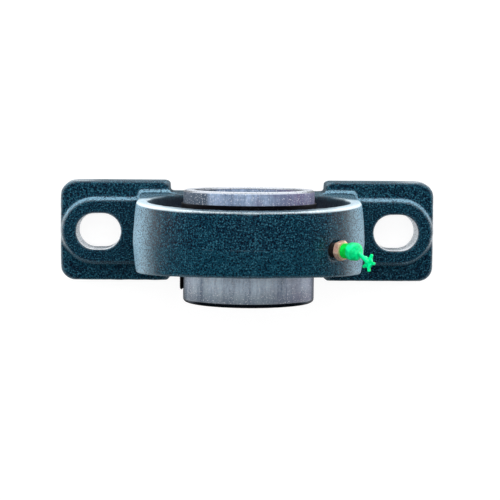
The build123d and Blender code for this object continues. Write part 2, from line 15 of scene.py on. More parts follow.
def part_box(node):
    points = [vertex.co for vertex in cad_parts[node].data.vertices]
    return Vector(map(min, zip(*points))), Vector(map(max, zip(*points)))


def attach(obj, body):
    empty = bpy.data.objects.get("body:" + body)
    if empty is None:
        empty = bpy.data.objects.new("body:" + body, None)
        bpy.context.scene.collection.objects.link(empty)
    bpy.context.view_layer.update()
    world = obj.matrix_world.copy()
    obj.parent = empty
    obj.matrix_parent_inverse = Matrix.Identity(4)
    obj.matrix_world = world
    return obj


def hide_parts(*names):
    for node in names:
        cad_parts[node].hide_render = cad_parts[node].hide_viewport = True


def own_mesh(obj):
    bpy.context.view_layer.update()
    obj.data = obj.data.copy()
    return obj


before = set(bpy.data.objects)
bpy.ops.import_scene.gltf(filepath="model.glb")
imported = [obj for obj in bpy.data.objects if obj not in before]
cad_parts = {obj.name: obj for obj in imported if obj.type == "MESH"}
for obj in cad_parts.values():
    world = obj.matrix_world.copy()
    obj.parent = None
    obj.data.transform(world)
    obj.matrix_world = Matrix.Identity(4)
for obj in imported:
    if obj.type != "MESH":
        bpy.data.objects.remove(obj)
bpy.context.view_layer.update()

LOG = logging.getLogger("pillow_block")
MM = 0.001
IMAGE_PIXELS = 500
SHARP_ANGLE = math.radians(35)
ONE_SPOT = 1e-9
NEAR = 0.01 * MM
SIDE_SHARE = 0.49
CREST_SLOPE = 2.6
CREST_SHARE = 0.15
# Point attribute for worn paint on proud edges, which also carries a painted highlight.
EDGE_ATTRIBUTE = "edge_wear"
WHITE = (1.0, 1.0, 1.0)

Number = Union[float, "Field"]
Colour = tuple[float, float, float]
Point2 = tuple[float, float]
Span = tuple[float, float]
Weights = tuple[float, float, float]
Reshape = Callable[[float, float, float], float]


# ---------------------------------------------------------------------------------------------
# Shader graphs
# ---------------------------------------------------------------------------------------------
def arithmetic(operation: str, swapped: bool = False) -> Callable[..., "Field"]:
    """Make a method of Field that does one operation.

    Args:
        operation: Blender's name of the operation.
        swapped: True if the other number comes first.

    Returns:
        The method, which takes the other number if the operation has one.
    """
    def method(self: "Field", *others: Number) -> "Field":
        """Do the operation."""
        return self.math(operation, *((*others, self) if swapped else (self, *others)))
    return method


class Field:
    """A number that varies over a surface: one output socket, usable in arithmetic."""

    def __init__(self, graph: "Tree", socket: bpy.types.NodeSocket) -> None:
        """Wrap an output socket of a graph."""
        self.graph = graph
        self.socket = socket

    def math(self, operation: str, *operands: Number, clamp: bool = False) -> "Field":
        """Add a Math node.

        Args:
            operation: Blender's name of the operation.
            operands: The inputs, in order.
            clamp: True to keep the result between 0 and 1.

        Returns:
            The node's result.
        """
        node = self.graph.add("ShaderNodeMath", dict(enumerate(operands)), operation=operation,
                              use_clamp=clamp)
        return Field(self.graph, node.outputs[0])

    __add__, __radd__ = arithmetic("ADD"), arithmetic("ADD", swapped=True)
    __sub__, __rsub__ = arithmetic("SUBTRACT"), arithmetic("SUBTRACT", swapped=True)
    __mul__, __rmul__ = arithmetic("MULTIPLY"), arithmetic("MULTIPLY", swapped=True)
    __truediv__ = arithmetic("DIVIDE")
    __abs__ = arithmetic("ABSOLUTE")
    most = arithmetic("MAXIMUM")
    root = arithmetic("SQRT")
    angle_to = arithmetic("ARCTAN2")

    def clamped(self) -> "Field":
        """The number kept between 0 and 1."""
        return self.math("ADD", self, 0.0, clamp=True)

    def step(self, low: float, high: float) -> "Field":
        """Smooth step from 0 at low to 1 at high.

        Args:
            low: Where the result is 0.
            high: Where the result is 1. It may be less than low.

        Returns:
            The eased number, kept between 0 and 1.
        """
        node = self.graph.add("ShaderNodeMapRange", {"Value": self, "From Min": low, "From Max": high},
                              interpolation_type="SMOOTHSTEP")
        return Field(self.graph, node.outputs["Result"])


class Tree:
    """A node tree, with one method that adds any node."""

    def __init__(self, tree: bpy.types.NodeTree) -> None:
        """Wrap a node tree and empty it."""
        self.tree = tree
        self.tree.nodes.clear()

    def add(self, kind: str, sockets: dict | None = None, **settings: object) -> bpy.types.Node:
        """Add a node.

        Args:
            kind: The node's type.
            sockets: Values or links, by input name or number.
            settings: Attributes to set before the sockets.

        Returns:
            The new node.
        """
        node = self.tree.nodes.new(kind)
        for key, value in settings.items():
            setattr(node, key, value)
        for key, value in (sockets or {}).items():
            self.feed(node.inputs[key], value)
        return node

    def numbers(self, kind: str, *outputs: str) -> list[Field]:
        """Add a node and wrap some of its outputs, by name."""
        node = self.add(kind)
        return [Field(self, node.outputs[name]) for name in outputs]

    def split(self, vector: bpy.types.NodeSocket) -> list[Field]:
        """The x, y and z of a vector."""
        node = self.add("ShaderNodeSeparateXYZ", {"Vector": vector})
        return [Field(self, socket) for socket in node.outputs]

    def feed(self, socket: bpy.types.NodeSocket, value: object) -> None:
        """Link or set one input socket.

        Args:
            socket: The input.
            value: A Field, an output socket, a colour or a number.
        """
        if isinstance(value, Field):
            value = value.socket
        if isinstance(value, bpy.types.NodeSocket):
            self.tree.links.new(value, socket)
        elif socket.type == "RGBA" and len(value) == 3:
            socket.default_value = (*value, 1.0)
        else:
            socket.default_value = value


class Graph(Tree):
    """A material's node tree, built round one Principled shader."""

    def __init__(self, name: str) -> None:
        """Start a material.

        Args:
            name: The material's name.
        """
        self.material = bpy.data.materials.new(name)
        self.material.use_nodes = True
        super().__init__(self.material.node_tree)
        self.shader = self.add("ShaderNodeBsdfPrincipled")
        self.add("ShaderNodeOutputMaterial", {"Surface": self.shader.outputs[0]})
        self.place = self.add("ShaderNodeTexCoord").outputs["Object"]
        self.x, self.y, self.z = self.split(self.place)

    def vector(self, x: Number, y: Number, z: Number) -> bpy.types.NodeSocket:
        """Put three numbers together as a vector."""
        return self.add("ShaderNodeCombineXYZ", {0: x, 1: y, 2: z}).outputs[0]

    def noise(self, size: float, detail: float = 2.0, roughness: float = 0.5,
              place: bpy.types.NodeSocket | None = None) -> Field:
        """Cloudy noise between about 0.3 and 0.7.

        Args:
            size: Size of the largest blobs, in metres, or in the units of place.
            detail: Number of finer layers.
            roughness: Weight of the finer layers.
            place: Coordinates. The object's own are used if it is left out.

        Returns:
            The noise.
        """
        sockets = {"Vector": place or self.place, "Scale": 1 / size, "Detail": detail, "Roughness": roughness}
        node = self.add("ShaderNodeTexNoise", sockets, noise_dimensions="3D")
        return Field(self, node.outputs["Fac"])

    def attribute(self, name: str) -> Field:
        """A number stored on the mesh's points."""
        return Field(self, self.add("ShaderNodeAttribute", attribute_name=name).outputs["Fac"])

    def mix(self, amount: Number, low: object, high: object) -> bpy.types.NodeSocket:
        """Mix two colours or sockets: an amount of 0 gives low and 1 gives high."""
        return self.add("ShaderNodeMix", {0: amount, 6: low, 7: high}, data_type="RGBA").outputs[2]

    def bump(self, height: Field, depth: float,
             below: bpy.types.NodeSocket | None = None) -> bpy.types.NodeSocket:
        """Turn a height into a normal.

        Args:
            height: Height in units of depth.
            depth: Metres of height for a change of 1.
            below: Normal of a coarser bump that this one lies on.

        Returns:
            The normal's socket.
        """
        sockets = {"Height": height, "Distance": depth, "Strength": 1.0}
        if below is not None:
            sockets["Normal"] = below
        return self.add("ShaderNodeBump", sockets).outputs[0]

    def finish(self, **sockets: object) -> bpy.types.Material:
        """Feed the shader's sockets, with underscores for spaces in their names, and return the material."""
        for key, value in sockets.items():
            self.feed(self.shader.inputs[key.replace("_", " ")], value)
        return self.material


# ---------------------------------------------------------------------------------------------
# Sizes read from the CAD nodes
# ---------------------------------------------------------------------------------------------
def middle(node: str) -> Vector:
    """Centre of a CAD node's box."""
    low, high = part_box(node)
    return (low + high) / 2


SHAFT_HEIGHT = middle("inner_ring").z
SHAFT_AXES = Matrix(((1, 0, 0, 0), (0, 0, 1, 0), (0, 1, 0, SHAFT_HEIGHT), (0, 0, 0, 1)))
NIPPLE_ANGLE = math.radians(45)


def around_shaft(place: Graph) -> tuple[Field, Field]:
    """Angle round the shaft axis in radians and distance from it in metres."""
    up = place.z - SHAFT_HEIGHT
    return up.angle_to(place.x), (place.x * place.x + up * up).root()


def along_nipple(place: Graph) -> Field:
    """Distance from the shaft axis in metres, measured along the nipple."""
    return place.x * math.cos(NIPPLE_ANGLE) + (place.z - SHAFT_HEIGHT) * math.sin(NIPPLE_ANGLE)


def radial_matrix(angle: float, plane: float, level: float) -> Matrix:
    """Place whose local z points away from the shaft and whose local x runs along it.

    Args:
        angle: Angle round the shaft from +X towards +Z, in radians.
        plane: Place along the shaft.
        level: Distance from the shaft axis.

    Returns:
        The matrix from local to row coordinates.
    """
    out = Vector((math.cos(angle), 0, math.sin(angle)))
    along = Vector((0, 1, 0))
    side = out.cross(along)
    spot = Vector((0, plane, SHAFT_HEIGHT)) + out * level
    return Matrix.Translation(spot) @ Matrix((along, side, out)).transposed().to_4x4()


# ---------------------------------------------------------------------------------------------
# Finishes
# ---------------------------------------------------------------------------------------------
@dataclass(frozen=True)
class CastPaint:
    """Dark teal paint over a sand-cast skin, thin along its edges, with bare machined faces, and with painted
    light: a painted sheen on the flanks, painted highlights on the edges, the back rim, the back face and the
    shoulders' slopes, and painted shade in the ring's recesses.

    A span is where a blend starts and ends: in metres along an axis, or in values of a noise.
    """

    # Darkest tone: the grain's pits, and the painted shade inside the ring's recesses.
    pit_and_recess_shade: Colour = (0.0002, 0.003, 0.010)
    deep: Colour = (0.0008, 0.009, 0.021)
    pale: Colour = (0.003, 0.034, 0.057)
    fleck: Colour = (0.035, 0.13, 0.18)
    # Worn paint on proud edges, also a painted highlight there.
    edge: Colour = (0.36, 0.49, 0.57)
    # Painted highlight on the back rim and the back face.
    rim: Colour = (0.80, 0.93, 1.0)
    # Painted sheen on the flanks and the shoulders' slopes.
    flank: Colour = (0.22, 0.40, 0.52)
    iron: Colour = (0.86, 0.88, 0.90)
    iron_dull: Colour = (0.66, 0.68, 0.71)
    sheen_tint: tuple[float, float, float, float] = (0.45, 0.78, 1.0, 1.0)
    sheen: float = 0.2
    sheen_roughness: float = 0.35
    specular: float = 0.4
    roughness: float = 0.16
    rough_span: Span = (0.65, 0.35)
    rough_weights: Weights = (0.10, 0.08, 0.3)

    grain: float = 1.08 * MM
    lump: float = 8.0 * MM
    tool_marks: Weights = (60.0, 2500.0, 60.0)
    coarse_depth: float = 0.22 * MM
    fine_depth: float = 0.07 * MM
    bump_cloud: float = 0.4
    bump_flank: float = 0.8
    bump_marks: float = 0.1

    tone_weights: Weights = (0.3, 0.7, 0.40)
    cloud_span: Span = (0.35, 0.66)
    grit_span: Span = (0.42, 0.60)
    # Painted light: the paint is paler below the parting plane, within this height.
    lower_half_light_height: Span = (40 * MM, 60 * MM)
    pit_span: Span = (0.46, 0.36)
    pit_share: float = 0.9
    fleck_span: Span = (0.58, 0.66)
    fleck_fine: Span = (0.48, 0.58)
    fleck_share: float = 0.8

    # Where the painted sheen, highlights and shade go, and the speckle that breaks them up.
    light_span: Span = (0.30, 0.58)
    flank_across: Span = (62 * MM, 80 * MM)
    flank_height: Span = (55 * MM, 84 * MM)
    # Where the painted highlight on the shoulders' back slopes goes.
    slope_low: Span = (21.5 * MM, 23.0 * MM)
    slope_high: Span = (27.8 * MM, 26.6 * MM)
    slope_along: Span = (6 * MM, 14 * MM)
    slope_across: Span = (50 * MM, 54 * MM)
    slope_share: float = 0.8
    # Where the painted shade inside the ring's recesses goes.
    recess_reach: Span = (71.4 * MM, 70.4 * MM)
    recess_share: float = 0.92
    # Where the painted highlight on the back face goes.
    face_lean: float = 0.0503
    face_along: Span = (27.8 * MM, 28.8 * MM)
    face_height: Span = (60 * MM, 80 * MM)
    face_across: Span = (30 * MM, 68 * MM)
    face_share: float = 0.6

    parting_plane: float = -3.0 * MM
    parting_step: float = 0.5 * MM
    ridge_half: float = 0.45 * MM
    ridge_height: Span = (40 * MM, 90 * MM)
    ridge_gaps: float = 9 * MM
    ridge_span: Span = (0.54, 0.64)
    ridge_share: float = 0.07
    ridge_bump: float = 0.4
    # Worn paint on proud edges with a painted highlight, strongest on the back rim.
    rim_along: Span = (5 * MM, 15 * MM)
    rim_height: Span = (40 * MM, 70 * MM)
    wear_and_highlight_least: float = 0.25
    wear_and_highlight_fine: Span = (0.25, 0.55)

    seat_reach: Span = (65.45 * MM, 65.35 * MM)
    base_height: Span = (0.30 * MM, 0.15 * MM)
    slot_place: float = 108.5 * MM
    slot_half_length: float = 3.0 * MM
    slot_reach: Span = (13.50 * MM, 13.35 * MM)
    marks_span: Span = (0.4, 0.6)
    iron_metal: float = 0.25

    def material(self) -> bpy.types.Material:
        """Build the material."""
        g = Graph("cast_paint")
        grit = g.noise(self.grain, detail=1.0, roughness=0.6)
        fine = g.noise(self.grain * 0.5, detail=1.0)
        cloud = g.noise(self.lump, detail=3.0, roughness=0.6)
        # Masks for the painted sheen on the flanks and the painted shade inside the recesses.
        flank = abs(g.x).step(*self.flank_across) * g.z.step(*self.flank_height)
        recess = around_shaft(g)[1].step(*self.recess_reach)
        ridge = abs(g.y - self.parting_plane).step(self.ridge_half, 0.0) * g.z.step(*self.ridge_height)
        ridge = ridge * g.noise(self.ridge_gaps, detail=1.0).step(*self.ridge_span)
        paint = self._skin(g, grit, fine, cloud)
        paint = self._painted_light(g, paint, grit, flank, recess)
        paint = self._worn_and_highlit(g, paint, fine, ridge)
        machined = self._machined(g)
        cast = 1 - machined
        marks = g.noise(1.0, detail=2.0, place=g.vector(*(axis * scale for axis, scale in
                                                          zip((g.x, g.y, g.z), self.tool_marks))))
        height = cloud * self.bump_cloud + grit * (1 + flank * self.bump_flank)
        coarse = g.bump(height * cast + ridge * self.ridge_bump, self.coarse_depth)
        normal = g.bump(fine * cast + marks * machined * self.bump_marks, self.fine_depth, coarse)
        iron = g.mix(marks.step(*self.marks_span), self.iron, self.iron_dull)
        of_grit, of_iron, of_recess = self.rough_weights
        rough = self.roughness + grit.step(*self.rough_span) * of_grit + machined * of_iron
        return g.finish(
            Base_Color=g.mix(machined, paint, iron), Metallic=machined * self.iron_metal, Normal=normal,
            Roughness=rough + recess * cast * of_recess, Specular_IOR_Level=self.specular,
            Sheen_Weight=self.sheen, Sheen_Roughness=self.sheen_roughness, Sheen_Tint=self.sheen_tint)

    def _skin(self, g: Graph, grit: Field, fine: Field, cloud: Field) -> bpy.types.NodeSocket:
        """Colour of the paint by itself: pits and flecks, and a painted light that makes the half below the
        parting plane paler.

        Args:
            g: The graph to work in.
            grit: Noise of the casting's grain.
            fine: Noise of half that size.
            cloud: Noise of the large patches.

        Returns:
            The colour's socket.
        """
        edge = self.parting_plane
        # Painted light: paler paint below the parting plane, where more light falls.
        lower_half_light = g.y.step(edge + self.parting_step, edge - self.parting_step) * g.z.step(*self.lower_half_light_height)
        of_cloud, of_grit, of_lower_half_light = self.tone_weights
        tone = cloud.step(*self.cloud_span) * of_cloud + grit.step(*self.grit_span) * of_grit + lower_half_light * of_lower_half_light
        paint = g.mix(tone.clamped(), self.deep, self.pale)
        paint = g.mix(grit.step(*self.pit_span) * self.pit_share, paint, self.pit_and_recess_shade)
        flecks = grit.step(*self.fleck_span) * fine.step(*self.fleck_fine) * self.fleck_share
        return g.mix(flecks, paint, self.fleck)

    def _painted_light(self, g: Graph, paint: bpy.types.NodeSocket, grit: Field, flank: Field,
               recess: Field) -> bpy.types.NodeSocket:
        """Painted sheen on the flanks, painted highlights on the back face and the shoulders' slopes, and
        painted shade in the recesses.

        Args:
            g: The graph to work in.
            paint: The colour so far.
            grit: Noise of the casting's grain.
            flank: 1 on the ring's flanks.
            recess: 1 inside the ring.

        Returns:
            The colour's socket.
        """
        speckle = grit.step(*self.light_span)
        # Painted sheen: paler speckled paint on the ring's upper flanks.
        paint = g.mix(flank * speckle, paint, self.flank)
        # Painted shade: the inside of the ring darkened almost to black.
        paint = g.mix(recess * self.recess_share, paint, self.pit_and_recess_shade)
        # Painted highlight: near-white paint on the sides of the back face.
        face = (g.y + g.z * self.face_lean).step(*self.face_along) * (1 - recess)
        face = face * g.z.step(*self.face_height) * abs(g.x).step(*self.face_across)
        paint = g.mix(face * self.face_share, paint, self.rim)
        # Painted highlight: paler speckled paint on the shoulders' slopes that face the back.
        slope = g.z.step(*self.slope_low) * g.z.step(*self.slope_high)
        slope = slope * g.y.step(*self.slope_along) * abs(g.x).step(*self.slope_across)
        return g.mix(slope * speckle * self.slope_share, paint, self.flank)

    def _worn_and_highlit(self, g: Graph, paint: bpy.types.NodeSocket, fine: Field, ridge: Field) -> bpy.types.NodeSocket:
        """Paint worn thin on proud edges and along the parting line, with a painted highlight on the same
        edges that is strongest on the back rim.

        Args:
            g: The graph to work in.
            paint: The colour so far.
            fine: Fine noise that breaks up the worn paint and the painted highlight.
            ridge: 1 on the parting line's ridge.

        Returns:
            The colour's socket.
        """
        # The attribute sets worn paint and a painted highlight on proud edges.
        wear = g.attribute(EDGE_ATTRIBUTE)
        # Painted highlight: the back rim takes the full share, in a near-white colour.
        rim = g.y.step(*self.rim_along) * g.z.step(*self.rim_height)
        worn_and_highlit = wear * (self.wear_and_highlight_least + rim * (1 - self.wear_and_highlight_least)) * fine.step(*self.wear_and_highlight_fine)
        return g.mix(worn_and_highlit.most(ridge * self.ridge_share), paint, g.mix(rim, self.edge, self.rim))

    def _machined(self, g: Graph) -> Field:
        """1 on the ball seat, the base plane and the walls of the bolt slots, and 0 on the cast skin.

        Args:
            g: The graph to work in.

        Returns:
            The mask.
        """
        up = g.z - SHAFT_HEIGHT
        seat = (g.x * g.x + g.y * g.y + up * up).root().step(*self.seat_reach)
        along = (abs(abs(g.x) - self.slot_place) - self.slot_half_length).most(0.0)
        slot = (along * along + g.y * g.y).root().step(*self.slot_reach)
        return seat.most(g.z.step(*self.base_height)).most(slot)


@dataclass(frozen=True)
class GroundSteel:
    """Ground bearing steel with bands of tone round it and random stains, and with painted light and shade:
    paler towards the front, darker at the front end and the front lip, and darker on both sides.

    A span is where a blend starts and ends: in metres along the shaft, as a share of the reach
    across it, or in values of a noise.
    """

    name: str = "ground_steel"
    bright: Colour = (0.47, 0.60, 0.82)
    # The pale colour is painted light; the tint serves random stains and a painted shade on the right side;
    # the shade colour is painted shade.
    pale: Colour = (0.80, 0.93, 1.0)
    dull: Colour = (0.12, 0.18, 0.30)
    tint: Colour = (0.11, 0.05, 0.15)
    shade: Colour = (0.03, 0.05, 0.075)
    speck: Colour = (0.85, 0.85, 0.88)
    turned: Colour = (0.62, 0.66, 0.72)
    roughness: float = 0.38
    rough_weights: Weights = (0.18, 0.1, 0.18)
    metal: Weights = (0.45, 0.5, 0.7)

    girth: float = 45 * MM
    streak: float = 2.4 * MM
    streak_stretch: float = 0.12
    band: float = 11.0 * MM
    band_stretch: float = 0.2
    mottle: float = 1.6 * MM
    stain: float = 14 * MM
    specks: float = 0.9 * MM
    turning: Span = (1.5, 4200.0)
    depth: float = 0.02 * MM
    mottle_bump: float = 0.4
    across_share: float = 0.3

    tone_weights: Weights = (0.4, 0.35, 0.25)
    streak_span: Span = (0.38, 0.62)
    band_span: Span = (0.36, 0.62)
    mottle_span: Span = (0.35, 0.62)
    stain_span: Span = (0.54, 0.70)
    stain_share: float = 0.3
    speck_span: Span = (0.62, 0.68)
    speck_share: float = 0.7
    # Where the painted light and shade on the steel go.
    pale_along: Span = (-12 * MM, -24 * MM)
    pale_shares: Span = (0.05, 0.7)
    shade_along: Span = (-28 * MM, -42 * MM)
    shade_share: float = 0.62
    behind_along: Span = (-5 * MM, 10 * MM)
    tint_across: Span = (0.2, 0.75)
    tint_shares: Span = (0.36, 0.4)
    tint_streak: Span = (0.35, 0.6)
    dark_across: Span = (-0.56, -0.66)
    dark_shares: Span = (0.25, 0.6)
    side_across: Span = (0.93, 1.0)
    side_share: float = 0.85

    end_front: Span = (-41.6 * MM, -41.9 * MM)
    end_back: Span = (31.9 * MM, 32.1 * MM)
    face_back: Span = (32.9 * MM, 33.2 * MM)
    # Where the painted shade on the front lip goes.
    lip_along: Span = (-41.6 * MM, -42.1 * MM)
    lip_reach: Span = (43.2 * MM, 43.8 * MM)

    def material(self) -> bpy.types.Material:
        """Build the material."""
        g = Graph(self.name)
        angle, reach = around_shaft(g)
        turned, inward = angle * self.girth, reach * self.across_share
        streaks = g.noise(self.streak, 4.0, 0.75, g.vector(turned, inward, g.y * self.streak_stretch))
        bands = g.noise(self.band, 2.0, place=g.vector(turned, inward, g.y * self.band_stretch))
        mottle = g.noise(self.mottle, 4.0, 0.7)
        specks = g.noise(self.specks, 1.0).step(*self.speck_span)
        round_way, across_way = self.turning
        lines = g.noise(1.0, 3.0, 0.7, g.vector(angle * round_way, reach * across_way, g.y * across_way))
        steel = self._ground(g, streaks, bands, mottle, reach)
        steel = g.mix(specks * self.speck_share, steel, self.speck)
        ends = g.y.step(*self.end_front).most(g.y.step(*self.end_back))
        # Painted shade: the front lip near black.
        lip = g.y.step(*self.lip_along) * reach.step(*self.lip_reach)
        metal, more_ends, less_back = self.metal
        of_mottle, of_specks, of_ends = self.rough_weights
        rough = self.roughness + mottle * of_mottle - specks * of_specks - ends * of_ends
        return g.finish(Base_Color=g.mix(lip, g.mix(ends, steel, self.turned), self.shade),
                        Metallic=metal + ends * more_ends - g.y.step(*self.face_back) * less_back,
                        Roughness=rough, Normal=g.bump(lines + mottle * self.mottle_bump, self.depth))

    def _ground(self, g: Graph, streaks: Field, bands: Field, mottle: Field,
                reach: Field) -> bpy.types.NodeSocket:
        """Colour of the ground outside, with its bands and stains, and with painted light towards the front
        and painted shade at the front end, on both sides and at the silhouettes.

        Args:
            g: The graph to work in.
            streaks: Narrow bands along the shaft.
            bands: Wide bands along the shaft.
            mottle: Small patches.
            reach: Distance from the shaft axis.

        Returns:
            The colour's socket.
        """
        of_streak, of_band, of_mottle = self.tone_weights
        tone = (streaks.step(*self.streak_span) * of_streak + bands.step(*self.band_span) * of_band
                + mottle.step(*self.mottle_span) * of_mottle).clamped()
        steel = g.mix(tone, self.dull, self.bright)
        steel = g.mix(g.noise(self.stain, 2.0).step(*self.stain_span) * self.stain_share, steel, self.tint)
        # Painted light: paler steel towards the front.
        least, more = self.pale_shares
        steel = g.mix(g.y.step(*self.pale_along) * (least + tone * more), steel, self.pale)
        # Painted shade: darker steel at the front end.
        steel = g.mix(g.y.step(*self.shade_along) * self.shade_share, steel, self.shade)
        # Painted shade: a purple shade on the right side and darker on the left side, most at the back, then
        # darker at both silhouettes towards the front.
        across, behind = g.x / reach, g.y.step(*self.behind_along)
        least, more = self.tint_shares
        streaky = 0.5 + streaks.step(*self.tint_streak) * 0.5
        steel = g.mix(across.step(*self.tint_across) * (least + behind * more) * streaky, steel, self.tint)
        least, more = self.dark_shares
        steel = g.mix(across.step(*self.dark_across) * (least + behind * more), steel, self.shade)
        return g.mix(abs(across).step(*self.side_across) * (1 - behind) * self.side_share, steel, self.shade)


@dataclass(frozen=True)
class BlackenedSteel:
    """Black oxide over steel, worn bright in scattered patches."""

    name: str = "black_oxide"
    black: Colour = (0.006, 0.006, 0.009)
    worn: Colour = (0.10, 0.11, 0.13)
    patch: float = 2.2 * MM
    grain: float = 0.5 * MM
    depth: float = 0.02 * MM
    patch_span: Span = (0.58, 0.72)
    scuff_span: Span = (0.48, 0.62)
    metal: float = 0.75
    roughness: float = 0.34
    rough_patch: float = 0.16

    def material(self) -> bpy.types.Material:
        """Build the material."""
        g = Graph(self.name)
        cloud = g.noise(self.patch, 4.0, 0.65)
        scuff = g.noise(self.grain, 2.0)
        wear = cloud.step(*self.patch_span) * scuff.step(*self.scuff_span)
        return g.finish(Base_Color=g.mix(wear, self.black, self.worn), Metallic=self.metal,
                        Roughness=self.roughness + cloud * self.rough_patch,
                        Normal=g.bump(scuff + cloud, self.depth))


@dataclass(frozen=True)
class PressedSteel:
    """Bright strip steel with drawing marks and a slight waviness."""

    name: str = "pressed_steel"
    bright: Colour = (0.60, 0.60, 0.61)
    dull: Colour = (0.38, 0.38, 0.40)
    patch: float = 3.5 * MM
    patch_span: Span = (0.32, 0.68)
    drawn: Span = (900.0, 160.0)
    drawn_bump: float = 0.3
    depth: float = 0.03 * MM
    roughness: float = 0.32
    rough_drawn: float = 0.14

    def material(self) -> bpy.types.Material:
        """Build the material."""
        g = Graph(self.name)
        cloud = g.noise(self.patch, 4.0, 0.6)
        across, along = self.drawn
        marks = g.noise(1.0, 2.0, place=g.vector(g.x * across, g.y * along, g.z * across))
        return g.finish(Base_Color=g.mix(cloud.step(*self.patch_span), self.dull, self.bright), Metallic=1.0,
                        Roughness=self.roughness + marks * self.rough_drawn,
                        Normal=g.bump(cloud + marks * self.drawn_bump, self.depth))


@dataclass(frozen=True)
class PolishedBall:
    """Lapped ball steel, almost a mirror, with faint oil smears."""

    oily: Colour = (0.66, 0.66, 0.67)
    clean: Colour = (0.78, 0.78, 0.80)
    patch: float = 2.5 * MM
    grain: float = 0.3 * MM
    depth: float = 0.002 * MM
    smear_span: Span = (0.45, 0.7)
    roughness: float = 0.06
    rough_smear: float = 0.10

    def material(self) -> bpy.types.Material:
        """Build the material."""
        g = Graph("polished_ball")
        smear = g.noise(self.patch, 3.0)
        haze = g.noise(self.grain, 1.0)
        return g.finish(Base_Color=g.mix(smear, self.oily, self.clean), Metallic=1.0,
                        Roughness=self.roughness + smear.step(*self.smear_span) * self.rough_smear,
                        Normal=g.bump(haze, self.depth))


@dataclass(frozen=True)
class SealRubber:
    """Matt black nitrile rubber with a fine moulded bloom."""

    black: Colour = (0.010, 0.010, 0.011)
    bloomed: Colour = (0.034, 0.035, 0.037)
    patch: float = 1.8 * MM
    grain: float = 0.25 * MM
    grain_bump: float = 0.4
    depth: float = 0.03 * MM
    bloom_span: Span = (0.4, 0.7)
    specular: float = 0.35
    roughness: float = 0.62
    rough_bloom: float = 0.15

    def material(self) -> bpy.types.Material:
        """Build the material."""
        g = Graph("seal_rubber")
        bloom = g.noise(self.patch, 4.0, 0.6)
        grain = g.noise(self.grain, 1.0)
        return g.finish(Base_Color=g.mix(bloom.step(*self.bloom_span), self.black, self.bloomed),
                        Roughness=self.roughness + bloom * self.rough_bloom,
                        Specular_IOR_Level=self.specular,
                        Normal=g.bump(grain * self.grain_bump + bloom, self.depth))


@dataclass(frozen=True)
class CopperPlate:
    """Copper-coloured plating with darker stains, and the thread near-black as painted shade under the
    hexagon.
    """

    bright: Colour = (0.98, 0.55, 0.42)
    cream: Colour = (1.0, 0.82, 0.60)
    stain: Colour = (0.26, 0.11, 0.07)
    # Painted shade on the thread under the hexagon.
    thread_shade: Colour = (0.012, 0.010, 0.010)
    patch: float = 1.5 * MM
    grain: float = 0.22 * MM
    depth: float = 0.02 * MM
    cream_span: Span = (0.42, 0.66)
    stain_span: Span = (0.42, 0.30)
    stain_share: float = 0.8
    thread_level: Span = (83.0 * MM, 82.7 * MM)
    fine_bump: float = 0.5
    metal: float = 0.65
    roughness: float = 0.22
    rough_fine: float = 0.16

    def material(self) -> bpy.types.Material:
        """Build the material."""
        g = Graph("copper_plate")
        cloud = g.noise(self.patch, 4.0, 0.65)
        fine = g.noise(self.grain, 2.0)
        metal = g.mix(cloud.step(*self.cream_span), self.bright, self.cream)
        metal = g.mix(cloud.step(*self.stain_span) * self.stain_share, metal, self.stain)
        # Painted shade: the thread under the hexagon near-black.
        thread = along_nipple(g).step(*self.thread_level)
        return g.finish(Base_Color=g.mix(thread, metal, self.thread_shade),
                        Metallic=self.metal - thread * self.metal,
                        Roughness=self.roughness + fine * self.rough_fine,
                        Normal=g.bump(fine * self.fine_bump + cloud, self.depth))


@dataclass(frozen=True)
class SoftGreenPlastic:
    """Glossy soft green moulding, slightly see-through in thin places, with painted shade on its skirt."""

    # The skirt's darker greens are painted shade; the crown is lighter and bluer.
    skirt: Colour = (0.0, 0.42, 0.035)
    skirt_light: Colour = (0.0, 0.60, 0.05)
    crown: Colour = (0.0, 0.48, 0.15)
    crown_light: Colour = (0.0, 0.74, 0.27)
    crown_level: Span = (92.0 * MM, 93.5 * MM)
    glow_colour: Colour = (0.2, 1.0, 0.4)
    glow_reach: float = 1.5 * MM
    glow: float = 0.25
    tone_span: Span = (0.35, 0.65)
    roughness: float = 0.17
    rough_flow: float = 0.12
    fine_bump: float = 0.2
    patch: float = 3.0 * MM
    grain: float = 0.35 * MM
    depth: float = 0.06 * MM

    def material(self) -> bpy.types.Material:
        """Build the material."""
        g = Graph("soft_green_plastic")
        flow = g.noise(self.patch, 2.0)
        fine = g.noise(self.grain, 2.0)
        # Painted shade: the skirt darker than the crown, which is also bluer.
        lit_bluer_crown = along_nipple(g).step(*self.crown_level)
        tone = flow.step(*self.tone_span)
        skirt = g.mix(tone, self.skirt, self.skirt_light)
        green = g.mix(lit_bluer_crown, skirt, g.mix(tone, self.crown, self.crown_light))
        return g.finish(Base_Color=green, Roughness=self.roughness + flow * self.rough_flow,
                        Subsurface_Weight=self.glow, Subsurface_Radius=self.glow_colour,
                        Subsurface_Scale=self.glow_reach,
                        Normal=g.bump(flow + fine * self.fine_bump, self.depth))


# ---------------------------------------------------------------------------------------------
# Meshes
# ---------------------------------------------------------------------------------------------
def link(name: str, data: bpy.types.ID) -> bpy.types.Object:
    """Put an object with the given data into the scene.

    Args:
        name: The object's name.
        data: Its mesh, lamp or camera.

    Returns:
        The new object.
    """
    thing = bpy.data.objects.new(name, data)
    bpy.context.scene.collection.objects.link(thing)
    return thing


def from_bmesh(work: bmesh.types.BMesh, name: str) -> bpy.types.Mesh:
    """Turn a working mesh into a finished one and free it.

    Args:
        work: The working mesh.
        name: Name of the finished mesh.

    Returns:
        The finished mesh.
    """
    out = bpy.data.meshes.new(name)
    work.to_mesh(out)
    work.free()
    return out


